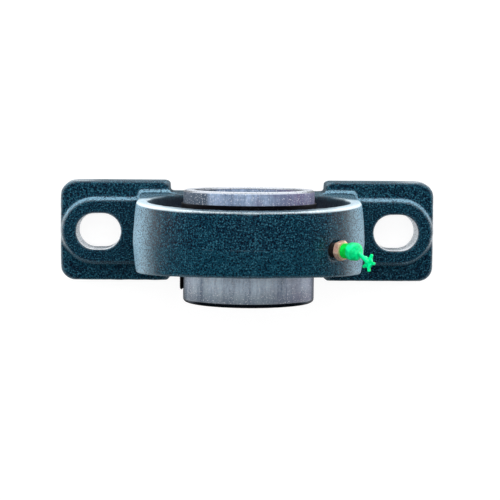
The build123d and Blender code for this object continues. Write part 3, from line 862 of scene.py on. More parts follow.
def node_mesh(name: str) -> bpy.types.Mesh:
    """A copy of a CAD node's mesh in row coordinates."""
    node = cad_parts[name]
    mesh = node.data.copy()
    mesh.transform(node.matrix_world)
    return mesh


def grid_mesh(rows: Sequence[Sequence[Vector]], loop: bool) -> bpy.types.Mesh:
    """Skin a stack of closed rings.

    Args:
        rows: Rings of equally many points. Rings of one spot at either end close the skin.
        loop: True to join the last ring to the first.

    Returns:
        A closed mesh with its faces outward.
    """
    count = len(rows[0])
    mesh = bmesh.new()
    rings = []
    for row in rows:
        if (row[0] - row[count // 2]).length < ONE_SPOT:
            rings.append([mesh.verts.new(row[0])] * count)
        else:
            rings.append([mesh.verts.new(point) for point in row])
    for low, high in zip(rings, rings[1:] + ([rings[0]] if loop else [])):
        for index in range(count):
            after = (index + 1) % count
            corners = list(dict.fromkeys((low[index], low[after], high[after], high[index])))
            if len(corners) > 2:
                mesh.faces.new(corners)
    bmesh.ops.recalc_face_normals(mesh, faces=mesh.faces)
    return from_bmesh(mesh, "skin")


def rounded(corners: Sequence[tuple[float, float, float]], steps: int = 5) -> list[Point2]:
    """Closed outline whose corners are arcs.

    Args:
        corners: (x, y, radius) of each corner.
        steps: Number of chords in an arc.

    Returns:
        The outline's points.
    """
    points: list[Point2] = []
    count = len(corners)
    for index, (x, y, radius) in enumerate(corners):
        here = Vector((x, y))
        back = Vector(corners[index - 1][:2]) - here
        on = Vector(corners[(index + 1) % count][:2]) - here
        if radius <= 0:
            points.append((x, y))
            continue
        half = back.angle(on) / 2
        reach = min(radius / math.tan(half), back.length * SIDE_SHARE, on.length * SIDE_SHARE)
        radius = reach * math.tan(half)
        bisector = (back.normalized() + on.normalized()).normalized()
        centre = here + bisector * (radius / math.sin(half))
        start = here + back.normalized() * reach - centre
        end = here + on.normalized() * reach - centre
        turn = start.angle_signed(end)
        for step in range(steps + 1):
            spoke = start.copy()
            spoke.rotate(Matrix.Rotation(-turn * step / steps, 2))
            points.append(tuple(centre + spoke))
    return points


def lathe(profile: Sequence[Point2], angles: Sequence[float], matrix: Matrix,
          reshape: Reshape | None = None, loop: bool = True) -> bpy.types.Mesh:
    """Turn a profile once round the local z axis.

    Args:
        profile: (radius, height) points.
        angles: Angles of the steps, in radians.
        matrix: Place of the local axes in row coordinates.
        reshape: Gives the real radius from (angle, radius, height), if the piece isn't round.
        loop: True to join the last point of the profile to the first.

    Returns:
        The closed mesh.
    """
    rows = []
    for radius, height in profile:
        row = []
        for angle in angles:
            reach = reshape(angle, radius, height) if reshape else radius
            row.append(matrix @ Vector((reach * math.cos(angle), reach * math.sin(angle), height)))
        rows.append(row)
    return grid_mesh(rows, loop)


def even_angles(count: int) -> list[float]:
    """Equal steps once round."""
    return [2 * math.pi * index / count for index in range(count)]


def stepped(points: Sequence[Point2], longest: float) -> list[Point2]:
    """Add points to a closed profile, so that no step is longer than a given length.

    Args:
        points: The profile's points.
        longest: The longest step.

    Returns:
        The profile with the added points.
    """
    out: list[Point2] = []
    for here, there in zip(points, list(points[1:]) + [points[0]]):
        count = max(1, math.ceil(math.dist(here, there) / longest))
        for step in range(count):
            part = step / count
            out.append((here[0] + (there[0] - here[0]) * part, here[1] + (there[1] - here[1]) * part))
    return out


def arc(centre: float, radius: float, half: float, count: int) -> list[Point2]:
    """Even (radius, height) points of an arc; a negative radius bulges inward, a negative half runs back."""
    return [(centre + radius * math.cos(half * part), abs(radius) * math.sin(half * part))
            for part in np.linspace(-1, 1, count)]


def drilled(mesh: bpy.types.Mesh, profile: Sequence[Point2], angles: Iterable[float], plane: float,
            steps: int) -> bpy.types.Mesh:
    """Cut the same radial hole at some angles round the shaft.

    Args:
        mesh: The mesh to cut.
        profile: (radius, distance from the shaft axis) points of the hole, from the inside out.
        angles: The holes' angles.
        plane: The holes' place along the shaft.
        steps: Number of sides of the cutter.

    Returns:
        The mesh with its holes.
    """
    outline = [(0.0, profile[0][1]), *profile, (0.0, profile[-1][1])]
    for angle in angles:
        cutter = lathe(outline, even_angles(steps), radial_matrix(angle, plane, 0), loop=False)
        mesh = cut(mesh, cutter)
    return mesh


def corner_reach(flats: float) -> float:
    """Distance from a hexagon's middle to its corners, from its width across the flats."""
    return flats / 2 / math.cos(math.pi / 6)


def hexagon_reach(angle: float, flats: float, first_corner: float) -> float:
    """Distance from the middle of a hexagon to its side, in a direction in radians."""
    sixth = math.pi / 3
    return flats / 2 / math.cos((angle - first_corner) % sixth - sixth / 2)


def thread_drop(angle: float, height: float, pitch: float, depth: float) -> float:
    """How far a screw thread's flank lies below its crest."""
    turn = (height / pitch - angle / (2 * math.pi)) % 1.0
    return depth * min(1.0, max(0.0, CREST_SLOPE * abs(turn - 0.5) - CREST_SHARE))


def modified(mesh: bpy.types.Mesh, kind: str, **settings: object) -> bpy.types.Mesh:
    """Run one modifier on a mesh.

    Args:
        mesh: The mesh.
        kind: The modifier's type.
        settings: The modifier's settings.

    Returns:
        The resulting mesh.
    """
    helper = link("helper", mesh)
    modifier = helper.modifiers.new("step", kind)
    for key, value in settings.items():
        setattr(modifier, key, value)
    bpy.context.view_layer.update()
    graph = bpy.context.evaluated_depsgraph_get()
    result = bpy.data.meshes.new_from_object(helper.evaluated_get(graph))
    bpy.data.objects.remove(helper)
    return result


def cut(mesh: bpy.types.Mesh, cutter: bpy.types.Mesh) -> bpy.types.Mesh:
    """Subtract one closed mesh from another."""
    tool = link("tool", cutter)
    result = modified(mesh, "BOOLEAN", operation="DIFFERENCE", solver="EXACT", object=tool)
    bpy.data.objects.remove(tool)
    return result


def share(values: np.ndarray, low: float, high: float) -> np.ndarray:
    """How far values lie from low to high, kept between 0 and 1."""
    return np.clip((values - low) / (high - low), 0, 1)


class SkinPoints:
    """A mesh's points as an array, with smoothing and normals."""

    def __init__(self, mesh: bpy.types.Mesh) -> None:
        """Read the points and edges.

        Args:
            mesh: The mesh to read and later write.
        """
        self.mesh = mesh
        count = len(mesh.vertices)
        self.points = np.empty(count * 3)
        mesh.vertices.foreach_get("co", self.points)
        self.points = self.points.reshape(-1, 3)
        edges = np.empty(len(mesh.edges) * 2, dtype=np.int64)
        mesh.edges.foreach_get("vertices", edges)
        self.ends = edges.reshape(-1, 2)
        self.degree = np.bincount(self.ends.ravel(), minlength=count)

    def neighbour_mean(self) -> np.ndarray:
        """Mean place of each point's neighbours."""
        start, end = self.ends.T
        total = np.empty_like(self.points)
        for axis in range(3):
            values = self.points[:, axis]
            total[:, axis] = (np.bincount(start, values[end], len(values))
                              + np.bincount(end, values[start], len(values)))
        return total / self.degree[:, None]

    def smooth(self, rounds: int, pull: float = 0.5) -> None:
        """Ease the points towards their neighbours, by a share of the way each round."""
        for _ in range(rounds):
            self.points += pull * (self.neighbour_mean() - self.points)

    def normals(self) -> np.ndarray:
        """Unit normal at each point, from the points as last written."""
        self.write()
        values = np.empty(len(self.points) * 3)
        self.mesh.vertices.foreach_get("normal", values)
        return values.reshape(-1, 3)

    def write(self) -> None:
        """Write the points back to the mesh."""
        self.mesh.vertices.foreach_set("co", self.points.ravel())
        self.mesh.update()


def dress(nodes: Iterable[str], material: bpy.types.Material) -> None:
    """Give CAD nodes a finish.

    Args:
        nodes: Names of the nodes.
        material: The finish.
    """
    for name in nodes:
        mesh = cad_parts[name].data
        mesh.materials.clear()
        mesh.materials.append(material)


def build(name: str, mesh: bpy.types.Mesh, material: bpy.types.Material, body: str, slot: str,
          *nodes: str) -> bpy.types.Object:
    """Add a detailed piece that stands for CAD nodes.

    Args:
        name: The piece's name.
        mesh: Its mesh.
        material: Its finish.
        body: The body that it moves with.
        slot: The record's material slot; not used.
        nodes: The CAD nodes that it replaces.

    Returns:
        The new object.
    """
    mesh.name = name
    mesh.materials.clear()
    mesh.materials.append(material)
    mesh.polygons.foreach_set("use_smooth", [True] * len(mesh.polygons))
    mesh.set_sharp_from_angle(angle=SHARP_ANGLE)
    piece = link(name, mesh)
    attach(piece, body)
    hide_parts(*nodes)
    LOG.info("%s: %d faces on %s", name, len(mesh.polygons), body)
    return piece


# ---------------------------------------------------------------------------------------------
# Sub-assemblies
# ---------------------------------------------------------------------------------------------
@dataclass
class Housing:
    """Cast foot-mounted housing: one skin with soft cast corners and bare machined faces."""

    voxel: float = 1.0 * MM
    easing: int = 4
    seat_radius: float = 65.05 * MM
    seat_half: float = 17.0 * MM
    seat_band: float = 0.45 * MM
    spot_level: float = 77.8 * MM
    spot_radius: float = 6.5 * MM
    spot_plane: float = -4.0 * MM
    ring_level: Span = (74.0 * MM, 78.0 * MM)
    lump_size: float = 9.0 * MM
    lump_height: float = 0.16 * MM
    grit_size: float = 2.2 * MM
    grit_height: float = 0.09 * MM
    parting_plane: float = -3.0 * MM
    parting_reach: float = 9.0 * MM
    parting_height: Span = (40 * MM, 70 * MM)
    parting_fall: float = 0.35 * MM
    rim_reach: float = 1.1 * MM
    wear_rounds: int = 5
    rim_along: Span = (12 * MM, 19 * MM)
    rim_height: Span = (50 * MM, 110 * MM)
    # How proud an edge must stand for worn paint and its painted highlight.
    wear: Span = (0.10 * MM, 0.22 * MM)
    cast_from: float = 3.0 * MM
    cast_margin: float = 0.3
    past_edge: float = 4.0

    def build(self) -> None:
        """Make the skin and put it in place of the CAD housing."""
        skin = modified(node_mesh("housing"), "REMESH", mode="VOXEL", voxel_size=self.voxel)
        points = SkinPoints(skin)
        points.smooth(self.easing)
        # Proud edges carry worn paint and a painted highlight.
        wear = self._proudness(points)
        self._roughen(points)
        self._machine(points)
        points.write()
        skin.attributes.new(EDGE_ATTRIBUTE, "FLOAT", "POINT").data.foreach_set("value", wear)
        build("cast_housing", skin, CastPaint().material(), "base", "cast_housing", "housing")

    def _proudness(self, points: SkinPoints) -> np.ndarray:
        """How far each point stands proud of its surroundings, which sets the worn paint and the painted
        highlight on its edges.

        Args:
            points: The skin's points, which are left as they are.

        Returns:
            Numbers between 0 and 1.
        """
        normals = points.normals()
        kept = points.points.copy()
        points.smooth(self.wear_rounds)
        proud = np.einsum("ij,ij->i", kept - points.points, normals)
        points.points = kept
        return share(proud, *self.wear)

    def _roughen(self, points: SkinPoints) -> None:
        """Give the skin the slight unevenness of a sand casting, away from machined faces.

        Args:
            points: The skin's points.
        """
        seat, spot, base = self._distances(points.points)
        cast = np.clip(np.minimum(np.minimum(seat, spot), base) / self.cast_from - self.cast_margin, 0, 1)
        height = np.zeros(len(cast))
        for size, amount in ((self.lump_size, self.lump_height), (self.grit_size, self.grit_height)):
            values = [noise.noise(Vector(point) / size) for point in points.points]
            height += amount * np.array(values)
        height -= self._parting_drop(points.points)
        points.points += points.normals() * (height * cast)[:, None]
        where = points.points
        rim = share(where[:, 1], *self.rim_along) * share(where[:, 2], *self.rim_height)
        where[:, 1] += self.rim_reach * rim * cast

    def _parting_drop(self, where: np.ndarray) -> np.ndarray:
        """How far the ring's outside falls away on both sides of the mould's parting line.

        Args:
            where: Points, one per row.

        Returns:
            The drop at each point.
        """
        level = np.hypot(where[:, 0], where[:, 2] - SHAFT_HEIGHT)
        outside = share(level, *self.ring_level) * share(where[:, 2], *self.parting_height)
        away = np.abs(where[:, 1] - self.parting_plane) / self.parting_reach
        return self.parting_fall * np.clip(away, 0, 1) * outside

    def _distances(self, where: np.ndarray) -> tuple[np.ndarray, np.ndarray, np.ndarray]:
        """Distances to the machined faces.

        Args:
            where: Points, one per row.

        Returns:
            Distances to the ball seat, to the nipple's spot face and to the base plane.
        """
        from_centre = where - np.array((0.0, 0.0, SHAFT_HEIGHT))
        seat = np.abs(np.linalg.norm(from_centre, axis=1) - self.seat_radius)
        seat += np.maximum(0, np.abs(where[:, 1]) - self.seat_half) * self.past_edge
        local = self._nipple_local(where)
        spot = np.abs(local[:, 2] - self.spot_level)
        spot += np.maximum(0, np.hypot(local[:, 0], local[:, 1]) - self.spot_radius) * self.past_edge
        return seat, spot, np.abs(where[:, 2])

    def _nipple_local(self, where: np.ndarray) -> np.ndarray:
        """Points in the nipple's own axes, with z as the distance from the shaft axis."""
        inverse = np.array(radial_matrix(NIPPLE_ANGLE, self.spot_plane, 0).inverted())
        return where @ inverse[:3, :3].T + inverse[:3, 3]

    def _machine(self, points: SkinPoints) -> None:
        """Put the points of machined faces exactly on them.

        Args:
            points: The skin's points.
        """
        where = points.points
        seat, spot, base = self._distances(where)
        centre = np.array((0.0, 0.0, SHAFT_HEIGHT))
        on_seat = seat < self.seat_band
        spokes = where[on_seat] - centre
        where[on_seat] = centre + spokes * (self.seat_radius / np.linalg.norm(spokes, axis=1))[:, None]
        on_spot = spot < self.seat_band
        matrix = np.array(radial_matrix(NIPPLE_ANGLE, self.spot_plane, 0))
        out = matrix[:3, 2]
        local = self._nipple_local(where[on_spot])
        where[on_spot] += np.outer(self.spot_level - local[:, 2], out)
        where[base < self.seat_band, 2] = 0.0


@dataclass
class BearingInsert:
    """Outer ring, seals and guard rings round the row of balls."""

    steps: int = 256
    outside_radius: float = 65.0 * MM
    outer_half: float = 14.0 * MM
    shoulder_radius: float = 56.83 * MM
    race_radius: float = 60.031 * MM
    race_section: float = 9.08 * MM
    seal_seat_radius: float = 59.03 * MM
    seal_groove_radius: float = 60.23 * MM
    seal_plane: float = 11.4 * MM
    seal_bead_width: float = 1.4 * MM
    edge: float = 0.3 * MM
    oil_hole_radius: float = 1.0 * MM
    oil_hole_plane: float = -8.2 * MM
    oil_hole_levels: Span = (50 * MM, 70 * MM)
    oil_hole_steps: int = 24
    outside_steps: int = 25
    race_steps: int = 21
    hub_seat: float = 45.52 * MM
    sheet: float = 1.4 * MM
    guard_plane: float = 14.9 * MM
    guard_radius: float = 58.43 * MM
    guard_lip: float = 18.5 * MM
    hub_end: float = 24.2 * MM
    dimple_angle: float = math.radians(95)
    dimple_radius: float = 2.4 * MM
    dimple_height: float = 1.0 * MM
    dimple_span: float = 1.25
    dimple_steps: int = 25
    dimple_power: float = 0.8
    profile_step: float = 0.35 * MM
    soft_bend: float = 1.1 * MM
    tight_bend: float = 0.6 * MM
    cut_edge: float = 0.3 * MM

    def build(self) -> None:
        """Build and dress every piece of the insert except the inner ring."""
        steel = GroundSteel("outer_ring_steel", roughness=0.24).material()
        build("insert_outer_ring", self._outer_ring(), steel, "insert", "bearing_steel", "outer_ring")
        blackened = BlackenedSteel("blackened_guard").material()
        for side, node in ((-1, "slinger_front"), (1, "slinger_back")):
            build(f"guard_ring_{node[8:]}", self._guard(side), blackened, "inner", "slinger_steel", node)
        dress(["seal_front", "seal_back"], SealRubber().material())
        pressed = PressedSteel().material()
        dress(["cage_rivets", *(f"{piece}_{side}" for piece in ("seal_insert", "cage_half")
                                for side in ("front", "back"))], pressed)
        dress([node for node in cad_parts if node.startswith("ball_")], PolishedBall().material())

    def _outer_ring(self) -> bpy.types.Mesh:
        """Outer ring with a ball-shaped outside, raceway, seal grooves and oil holes."""
        end = math.sqrt(self.outside_radius ** 2 - self.outer_half ** 2)
        seal_side = self.seal_plane + self.seal_bead_width
        half = [(end - self.edge, self.outer_half), (self.seal_seat_radius + self.edge, self.outer_half),
                (self.seal_seat_radius, self.outer_half - self.edge), (self.seal_seat_radius, seal_side),
                (self.seal_groove_radius, seal_side), (self.seal_groove_radius, self.seal_plane),
                (self.shoulder_radius + self.edge, self.seal_plane),
                (self.shoulder_radius, self.seal_plane - self.edge)]
        reach = math.asin((self.outer_half - self.edge) / self.outside_radius)
        centre = self.race_radius - self.race_section
        opening = math.acos((self.shoulder_radius - centre) / self.race_section)
        profile = arc(0, self.outside_radius, reach, self.outside_steps) + half
        profile += arc(centre, self.race_section, -opening, self.race_steps)
        profile += [(radius, -plane) for radius, plane in reversed(half)]
        ring = lathe(profile, even_angles(self.steps), SHAFT_AXES)
        hole = [(self.oil_hole_radius, level) for level in self.oil_hole_levels]
        return drilled(ring, hole, (NIPPLE_ANGLE, NIPPLE_ANGLE + math.pi), self.oil_hole_plane,
                       self.oil_hole_steps)

    def _guard(self, side: int) -> bpy.types.Mesh:
        """Pressed guard ring: a hub, a flange and an outer lip, bent from one sheet.

        Args:
            side: -1 at the set screw end and 1 at the other end.

        Returns:
            The mesh.
        """
        near, floor = self.guard_plane, self.guard_plane + self.sheet
        hub, rim = self.hub_seat + self.sheet, self.guard_radius - self.sheet
        corners = [(self.hub_seat, near, self.tight_bend), (self.guard_radius, near, self.soft_bend),
                   (self.guard_radius, self.guard_lip, self.cut_edge), (rim, self.guard_lip, self.cut_edge),
                   (rim, floor, self.tight_bend), (hub, floor, self.tight_bend),
                   (hub, self.hub_end, self.cut_edge), (self.hub_seat, self.hub_end, self.cut_edge)]
        profile = rounded([(radius, side * plane, edge) for radius, plane, edge in corners], steps=4)
        angles = even_angles(self.steps)
        if side < 0:
            return lathe(profile, angles, SHAFT_AXES)
        span = self.dimple_span * self.dimple_radius / hub
        low, high = self.dimple_angle - span, self.dimple_angle + span
        angles = [angle for angle in angles if abs(angle - self.dimple_angle) > span]
        angles = sorted(angles + list(np.linspace(low, high, self.dimple_steps)))
        return lathe(stepped(profile, self.profile_step), angles, SHAFT_AXES, self._dimple)

    def _dimple(self, angle: float, radius: float, plane: float) -> float:
        """Radius of the back guard's skin, raised at the dimple.

        Args:
            angle: Angle round the shaft.
            radius: Radius of the plain skin.
            plane: Place along the shaft.

        Returns:
            The raised radius.
        """
        hub = self.hub_seat + self.sheet
        if abs(radius - hub) > 10 * NEAR:
            return radius
        middle_plane = self.hub_end - self.cut_edge - self.dimple_radius
        away = math.hypot((angle - self.dimple_angle) * hub, plane - middle_plane) / self.dimple_radius
        if away >= 1:
            return radius
        return radius + self.dimple_height * math.cos(away * math.pi / 2) ** self.dimple_power


@dataclass
class InnerRing:
    """Extended inner ring that grips the shaft with two socket set screws."""

    steps: int = 288
    bore_radius: float = 37.5 * MM
    outside_radius: float = 45.5 * MM
    front: float = -44.5 * MM
    back: float = 33.3 * MM
    front_round: float = 2.5 * MM
    back_chamfer: float = 1.5 * MM
    bore_chamfer: float = 1.0 * MM
    race_radius: float = 42.469 * MM
    race_section: float = 9.08 * MM
    screw_plane: float = -30.5 * MM
    screw_angles: tuple[float, float] = (math.pi, math.radians(300))
    hole_radius: float = 6.06 * MM
    hole_bevel: float = 0.8 * MM
    hole_start: float = 30 * MM
    overrun: float = 1 * MM
    edge: float = 0.2 * MM
    race_steps: int = 17
    screw_radius: float = 6.0 * MM
    screw_length: float = 10.0 * MM
    screw_level: float = 37.7 * MM
    thread_pitch: float = 1.75 * MM
    thread_depth: float = 0.85 * MM
    point_radius: float = 4.0 * MM
    point_depth: float = 1.6 * MM
    socket_flats: float = 6.0 * MM
    socket_depth: float = 5.0 * MM
    screw_steps: int = 96
    thread_step: float = 0.11 * MM
    crown: float = 0.7 * MM
    run_out: Span = (0.6 * MM, 0.5 * MM)
    run_out_least: float = 0.3
    socket_edge: float = 0.25 * MM
    socket_bevel: float = 0.3 * MM
    socket_cone: float = 1.2 * MM
    socket_face: float = 0.6 * MM
    cup_depth: Span = (1.1 * MM, 0.5 * MM)
    cup_wall: Span = (1.2 * MM, 0.25 * MM)
    crown_cut: Span = (0.8 * MM, 0.05 * MM)
    crown_flat: float = 0.95 * MM

    def build(self) -> None:
        """Build the ring and its set screws."""
        steel = GroundSteel("inner_ring_steel").material()
        build("extended_inner_ring", self._ring(), steel, "inner", "bearing_steel", "inner_ring")
        black = BlackenedSteel("black_oxide").material()
        for index, angle in enumerate(self.screw_angles, start=1):
            build(f"socket_set_screw_{index}", self._screw(angle), black, f"set_screw_{index}_body",
                  "black_oxide", f"set_screw_{index}")

    def _ring(self) -> bpy.types.Mesh:
        """The turned ring with its two tapped holes."""
        outline = rounded([
            (self.outside_radius, self.back - self.back_chamfer, self.edge),
            (self.outside_radius - self.back_chamfer, self.back, self.edge),
            (self.bore_radius + self.bore_chamfer, self.back, self.edge),
            (self.bore_radius, self.back - self.bore_chamfer, self.edge),
            (self.bore_radius, self.front + self.bore_chamfer, self.edge),
            (self.bore_radius + self.bore_chamfer, self.front, self.edge),
            (self.outside_radius, self.front, self.front_round)], steps=6)
        centre = self.race_radius + self.race_section
        opening = math.acos((centre - self.outside_radius) / self.race_section)
        race = arc(centre, -self.race_section, opening, self.race_steps)
        ring = lathe(outline + race, even_angles(self.steps), SHAFT_AXES)
        dip = self.outside_radius - math.sqrt(self.outside_radius ** 2 - self.hole_radius ** 2)
        mouth = dip + self.hole_bevel / 2
        past = self.overrun
        hole = [(self.hole_radius, self.hole_start), (self.hole_radius, self.outside_radius - mouth),
                (self.hole_radius + mouth + past, self.outside_radius + past)]
        return drilled(ring, hole, self.screw_angles, self.screw_plane, self.screw_steps)

    def _screw(self, angle: float) -> bpy.types.Mesh:
        """Set screw with a rolled thread, a hexagon socket and a cup point.

        Args:
            angle: Angle of the screw round the shaft.

        Returns:
            The mesh.
        """
        length, radius = self.screw_length, self.screw_radius
        inner, floor = corner_reach(self.socket_flats), length - self.socket_depth
        (deep, shallow), (wall, lip) = self.cup_depth, self.cup_wall
        point = [(0.0, deep), (self.point_radius - wall, shallow),
                 (self.point_radius - lip, 0.0), (self.point_radius, 0.0)]
        levels = np.arange(self.point_depth, length - self.crown, self.thread_step)
        flank = [(radius, height) for height in levels]
        inward, down = self.crown_cut
        top = [(radius - inward, length - down), (radius - self.crown_flat, length),
               (inner + self.socket_face, length), (inner + self.socket_edge, length),
               (inner, length - self.socket_bevel), (inner, floor), (0.0, floor - self.socket_cone)]
        return lathe(point + flank + top, even_angles(self.screw_steps),
                     radial_matrix(angle, self.screw_plane, self.screw_level), self._screw_reach, loop=False)

    def _screw_reach(self, angle: float, radius: float, height: float) -> float:
        """Radius of the screw's skin.

        Args:
            angle: Angle round the screw.
            radius: Radius of the plain profile.
            height: Height above the tip.

        Returns:
            The radius with the thread and the hexagon socket.
        """
        inner = corner_reach(self.socket_flats)
        if radius > self.screw_radius - NEAR:
            start, length = self.run_out
            run_out = max(min(1.0, (self.screw_length - start - height) / length), self.run_out_least)
            return radius - thread_drop(angle, height, self.thread_pitch, self.thread_depth) * run_out
        if abs(radius - inner) < NEAR and height > self.overrun:
            return hexagon_reach(angle, self.socket_flats, 0.0)
        if abs(radius - inner - self.socket_edge) < NEAR:
            return hexagon_reach(angle, self.socket_flats, 0.0) + self.socket_edge
        return radius


@dataclass
class GreaseNipple:
    """Plated grease nipple with a threaded shank, a hexagon and a spring-loaded ball."""

    steps: int = 144
    plane: float = -4.0 * MM
    root: float = 70.6 * MM
    hex_base: float = 82.9 * MM
    shank_radius: float = 4.86 * MM
    thread_pitch: float = 1.0 * MM
    thread_depth: float = 0.5 * MM
    thread_step: float = 0.125 * MM
    lead_in: float = 0.7 * MM
    hex_flats: float = 12.0 * MM
    hex_corner: float = math.radians(44)
    low_bevel: tuple[Span, ...] = ((0.4 * MM, 0.3 * MM), (0.0, 0.7 * MM))
    high_bevel: tuple[Span, ...] = ((0.0, 0.8 * MM), (0.3 * MM, 0.5 * MM), (0.6 * MM, 0.22 * MM))
    hex_top: float = 87.2 * MM
    collar_radius: float = 3.0 * MM
    collar_top: float = 88.4 * MM
    neck_radius: float = 2.4 * MM
    neck_low: float = 90.9 * MM
    neck_top: float = 91.7 * MM
    head_radius: float = 3.25 * MM
    head_low: float = 92.9 * MM
    head_high: float = 93.6 * MM
    tip: float = 95.8 * MM
    tip_radius: float = 1.9 * MM
    head_edge: float = 0.3 * MM
    neck_edge: float = 0.4 * MM
    tip_edge: float = 0.2 * MM
    hole_radius: float = 0.85 * MM
    roof: float = 94.8 * MM
    chamber_top: float = 94.2 * MM
    chamber_radius: float = 1.45 * MM
    chamber_floor: float = 86.4 * MM
    bore_radius: float = 1.0 * MM
    ball_travel: float = 1.0 * MM

    def build(self) -> None:
        """Build the nipple and dress its ball and spring."""
        build("plated_grease_nipple", self._body(), CopperPlate().material(), "base", "nipple_brass",
              "grease_nipple")
        dress(["nipple_check_ball"], PolishedBall().material())
        self._spring()

    def _spring(self) -> None:
        """Coil spring behind the ball."""
        wire = PressedSteel("spring_wire", roughness=0.25).material()
        mesh = node_mesh("nipple_spring")
        spring = build("valve_spring", mesh, wire, "base", "pressed_steel", "nipple_spring")
        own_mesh(spring)

    def _body(self) -> bpy.types.Mesh:
        """The nipple's turned and milled body."""
        corner, low, high = corner_reach(self.hex_flats), self.hex_base, self.hex_top
        start = self.root + self.lead_in
        shank = [(self.bore_radius, self.root), (self.shank_radius - self.lead_in, self.root)]
        thread = [(self.shank_radius, level) for level in np.arange(start, low, self.thread_step)]
        hexagon = [(self.hex_flats / 2, low), *((corner - inward, low + up) for inward, up in self.low_bevel),
                   *((corner - inward, high - down) for inward, down in self.high_bevel),
                   (self.hex_flats / 2, high)]
        stem = rounded([
            (self.collar_radius, high, 0.0), (self.collar_radius, self.collar_top, self.head_edge),
            (self.neck_radius, self.neck_low, self.neck_edge),
            (self.neck_radius, self.neck_top, self.neck_edge),
            (self.head_radius, self.head_low, self.head_edge),
            (self.head_radius, self.head_high, self.head_edge),
            (self.tip_radius, self.tip, self.tip_edge), (self.hole_radius, self.tip, 0.0)], steps=4)
        inside = [(self.hole_radius, self.roof), (self.chamber_radius, self.chamber_top),
                  (self.chamber_radius, self.chamber_floor), (self.bore_radius, self.chamber_floor)]
        return lathe(shank + thread + hexagon + stem + inside, even_angles(self.steps),
                     radial_matrix(NIPPLE_ANGLE, self.plane, 0), self._reach)

    def _reach(self, angle: float, radius: float, level: float) -> float:
        """Radius of the nipple's skin.

        Args:
            angle: Angle round the nipple.
            radius: Radius of the turned profile.
            level: Distance from the shaft axis.

        Returns:
            The radius with the thread or the hexagon's flats.
        """
        if radius > self.shank_radius - NEAR and level < self.hex_base - 5 * NEAR:
            return radius - thread_drop(angle, level, self.thread_pitch, self.thread_depth)
        if radius > self.collar_radius + self.lead_in and self.hex_base <= level:
            return min(radius, hexagon_reach(angle, self.hex_flats, self.hex_corner))
        return radius


@dataclass
class DustCap:
    """Soft green cap over the nipple's head, with its strap and pull tab."""

    voxel: float = 0.24 * MM
    easing: int = 7
    ripple_size: float = 2.2 * MM
    ripple_height: float = 0.09 * MM

    def build(self) -> None:
        """Melt the cap's forms into one soft moulding."""
        skin = modified(node_mesh("dust_cap"), "REMESH", mode="VOXEL", voxel_size=self.voxel)
        points = SkinPoints(skin)
        points.smooth(self.easing)
        values = np.array([noise.noise(Vector(point) / self.ripple_size) for point in points.points])
        points.points += points.normals() * ((values - 0.5) * self.ripple_height)[:, None]
        points.write()
        build("soft_dust_cap", skin, SoftGreenPlastic().material(), "cap", "green_cap", "dust_cap")


# ---------------------------------------------------------------------------------------------
# Studio
# ---------------------------------------------------------------------------------------------
class Side(Enum):
    """Where a lamp stands, as (direction to the lamp, size in metres, power in watts)."""

    TOP = ((0.0, 0.3, 1.0), (1.2, 1.2), 12.0)
    BACK = ((0.0, 1.0, 0.28), (2.0, 0.7), 19.0)
    LEFT = ((-1.0, 0.1, 0.34), (1.4, 0.6), 10.0)
    RIGHT = ((1.0, 0.1, 0.34), (1.4, 0.6), 8.0)
    FRONT = ((0.0, -1.0, 0.9), (1.4, 0.6), 2.0)


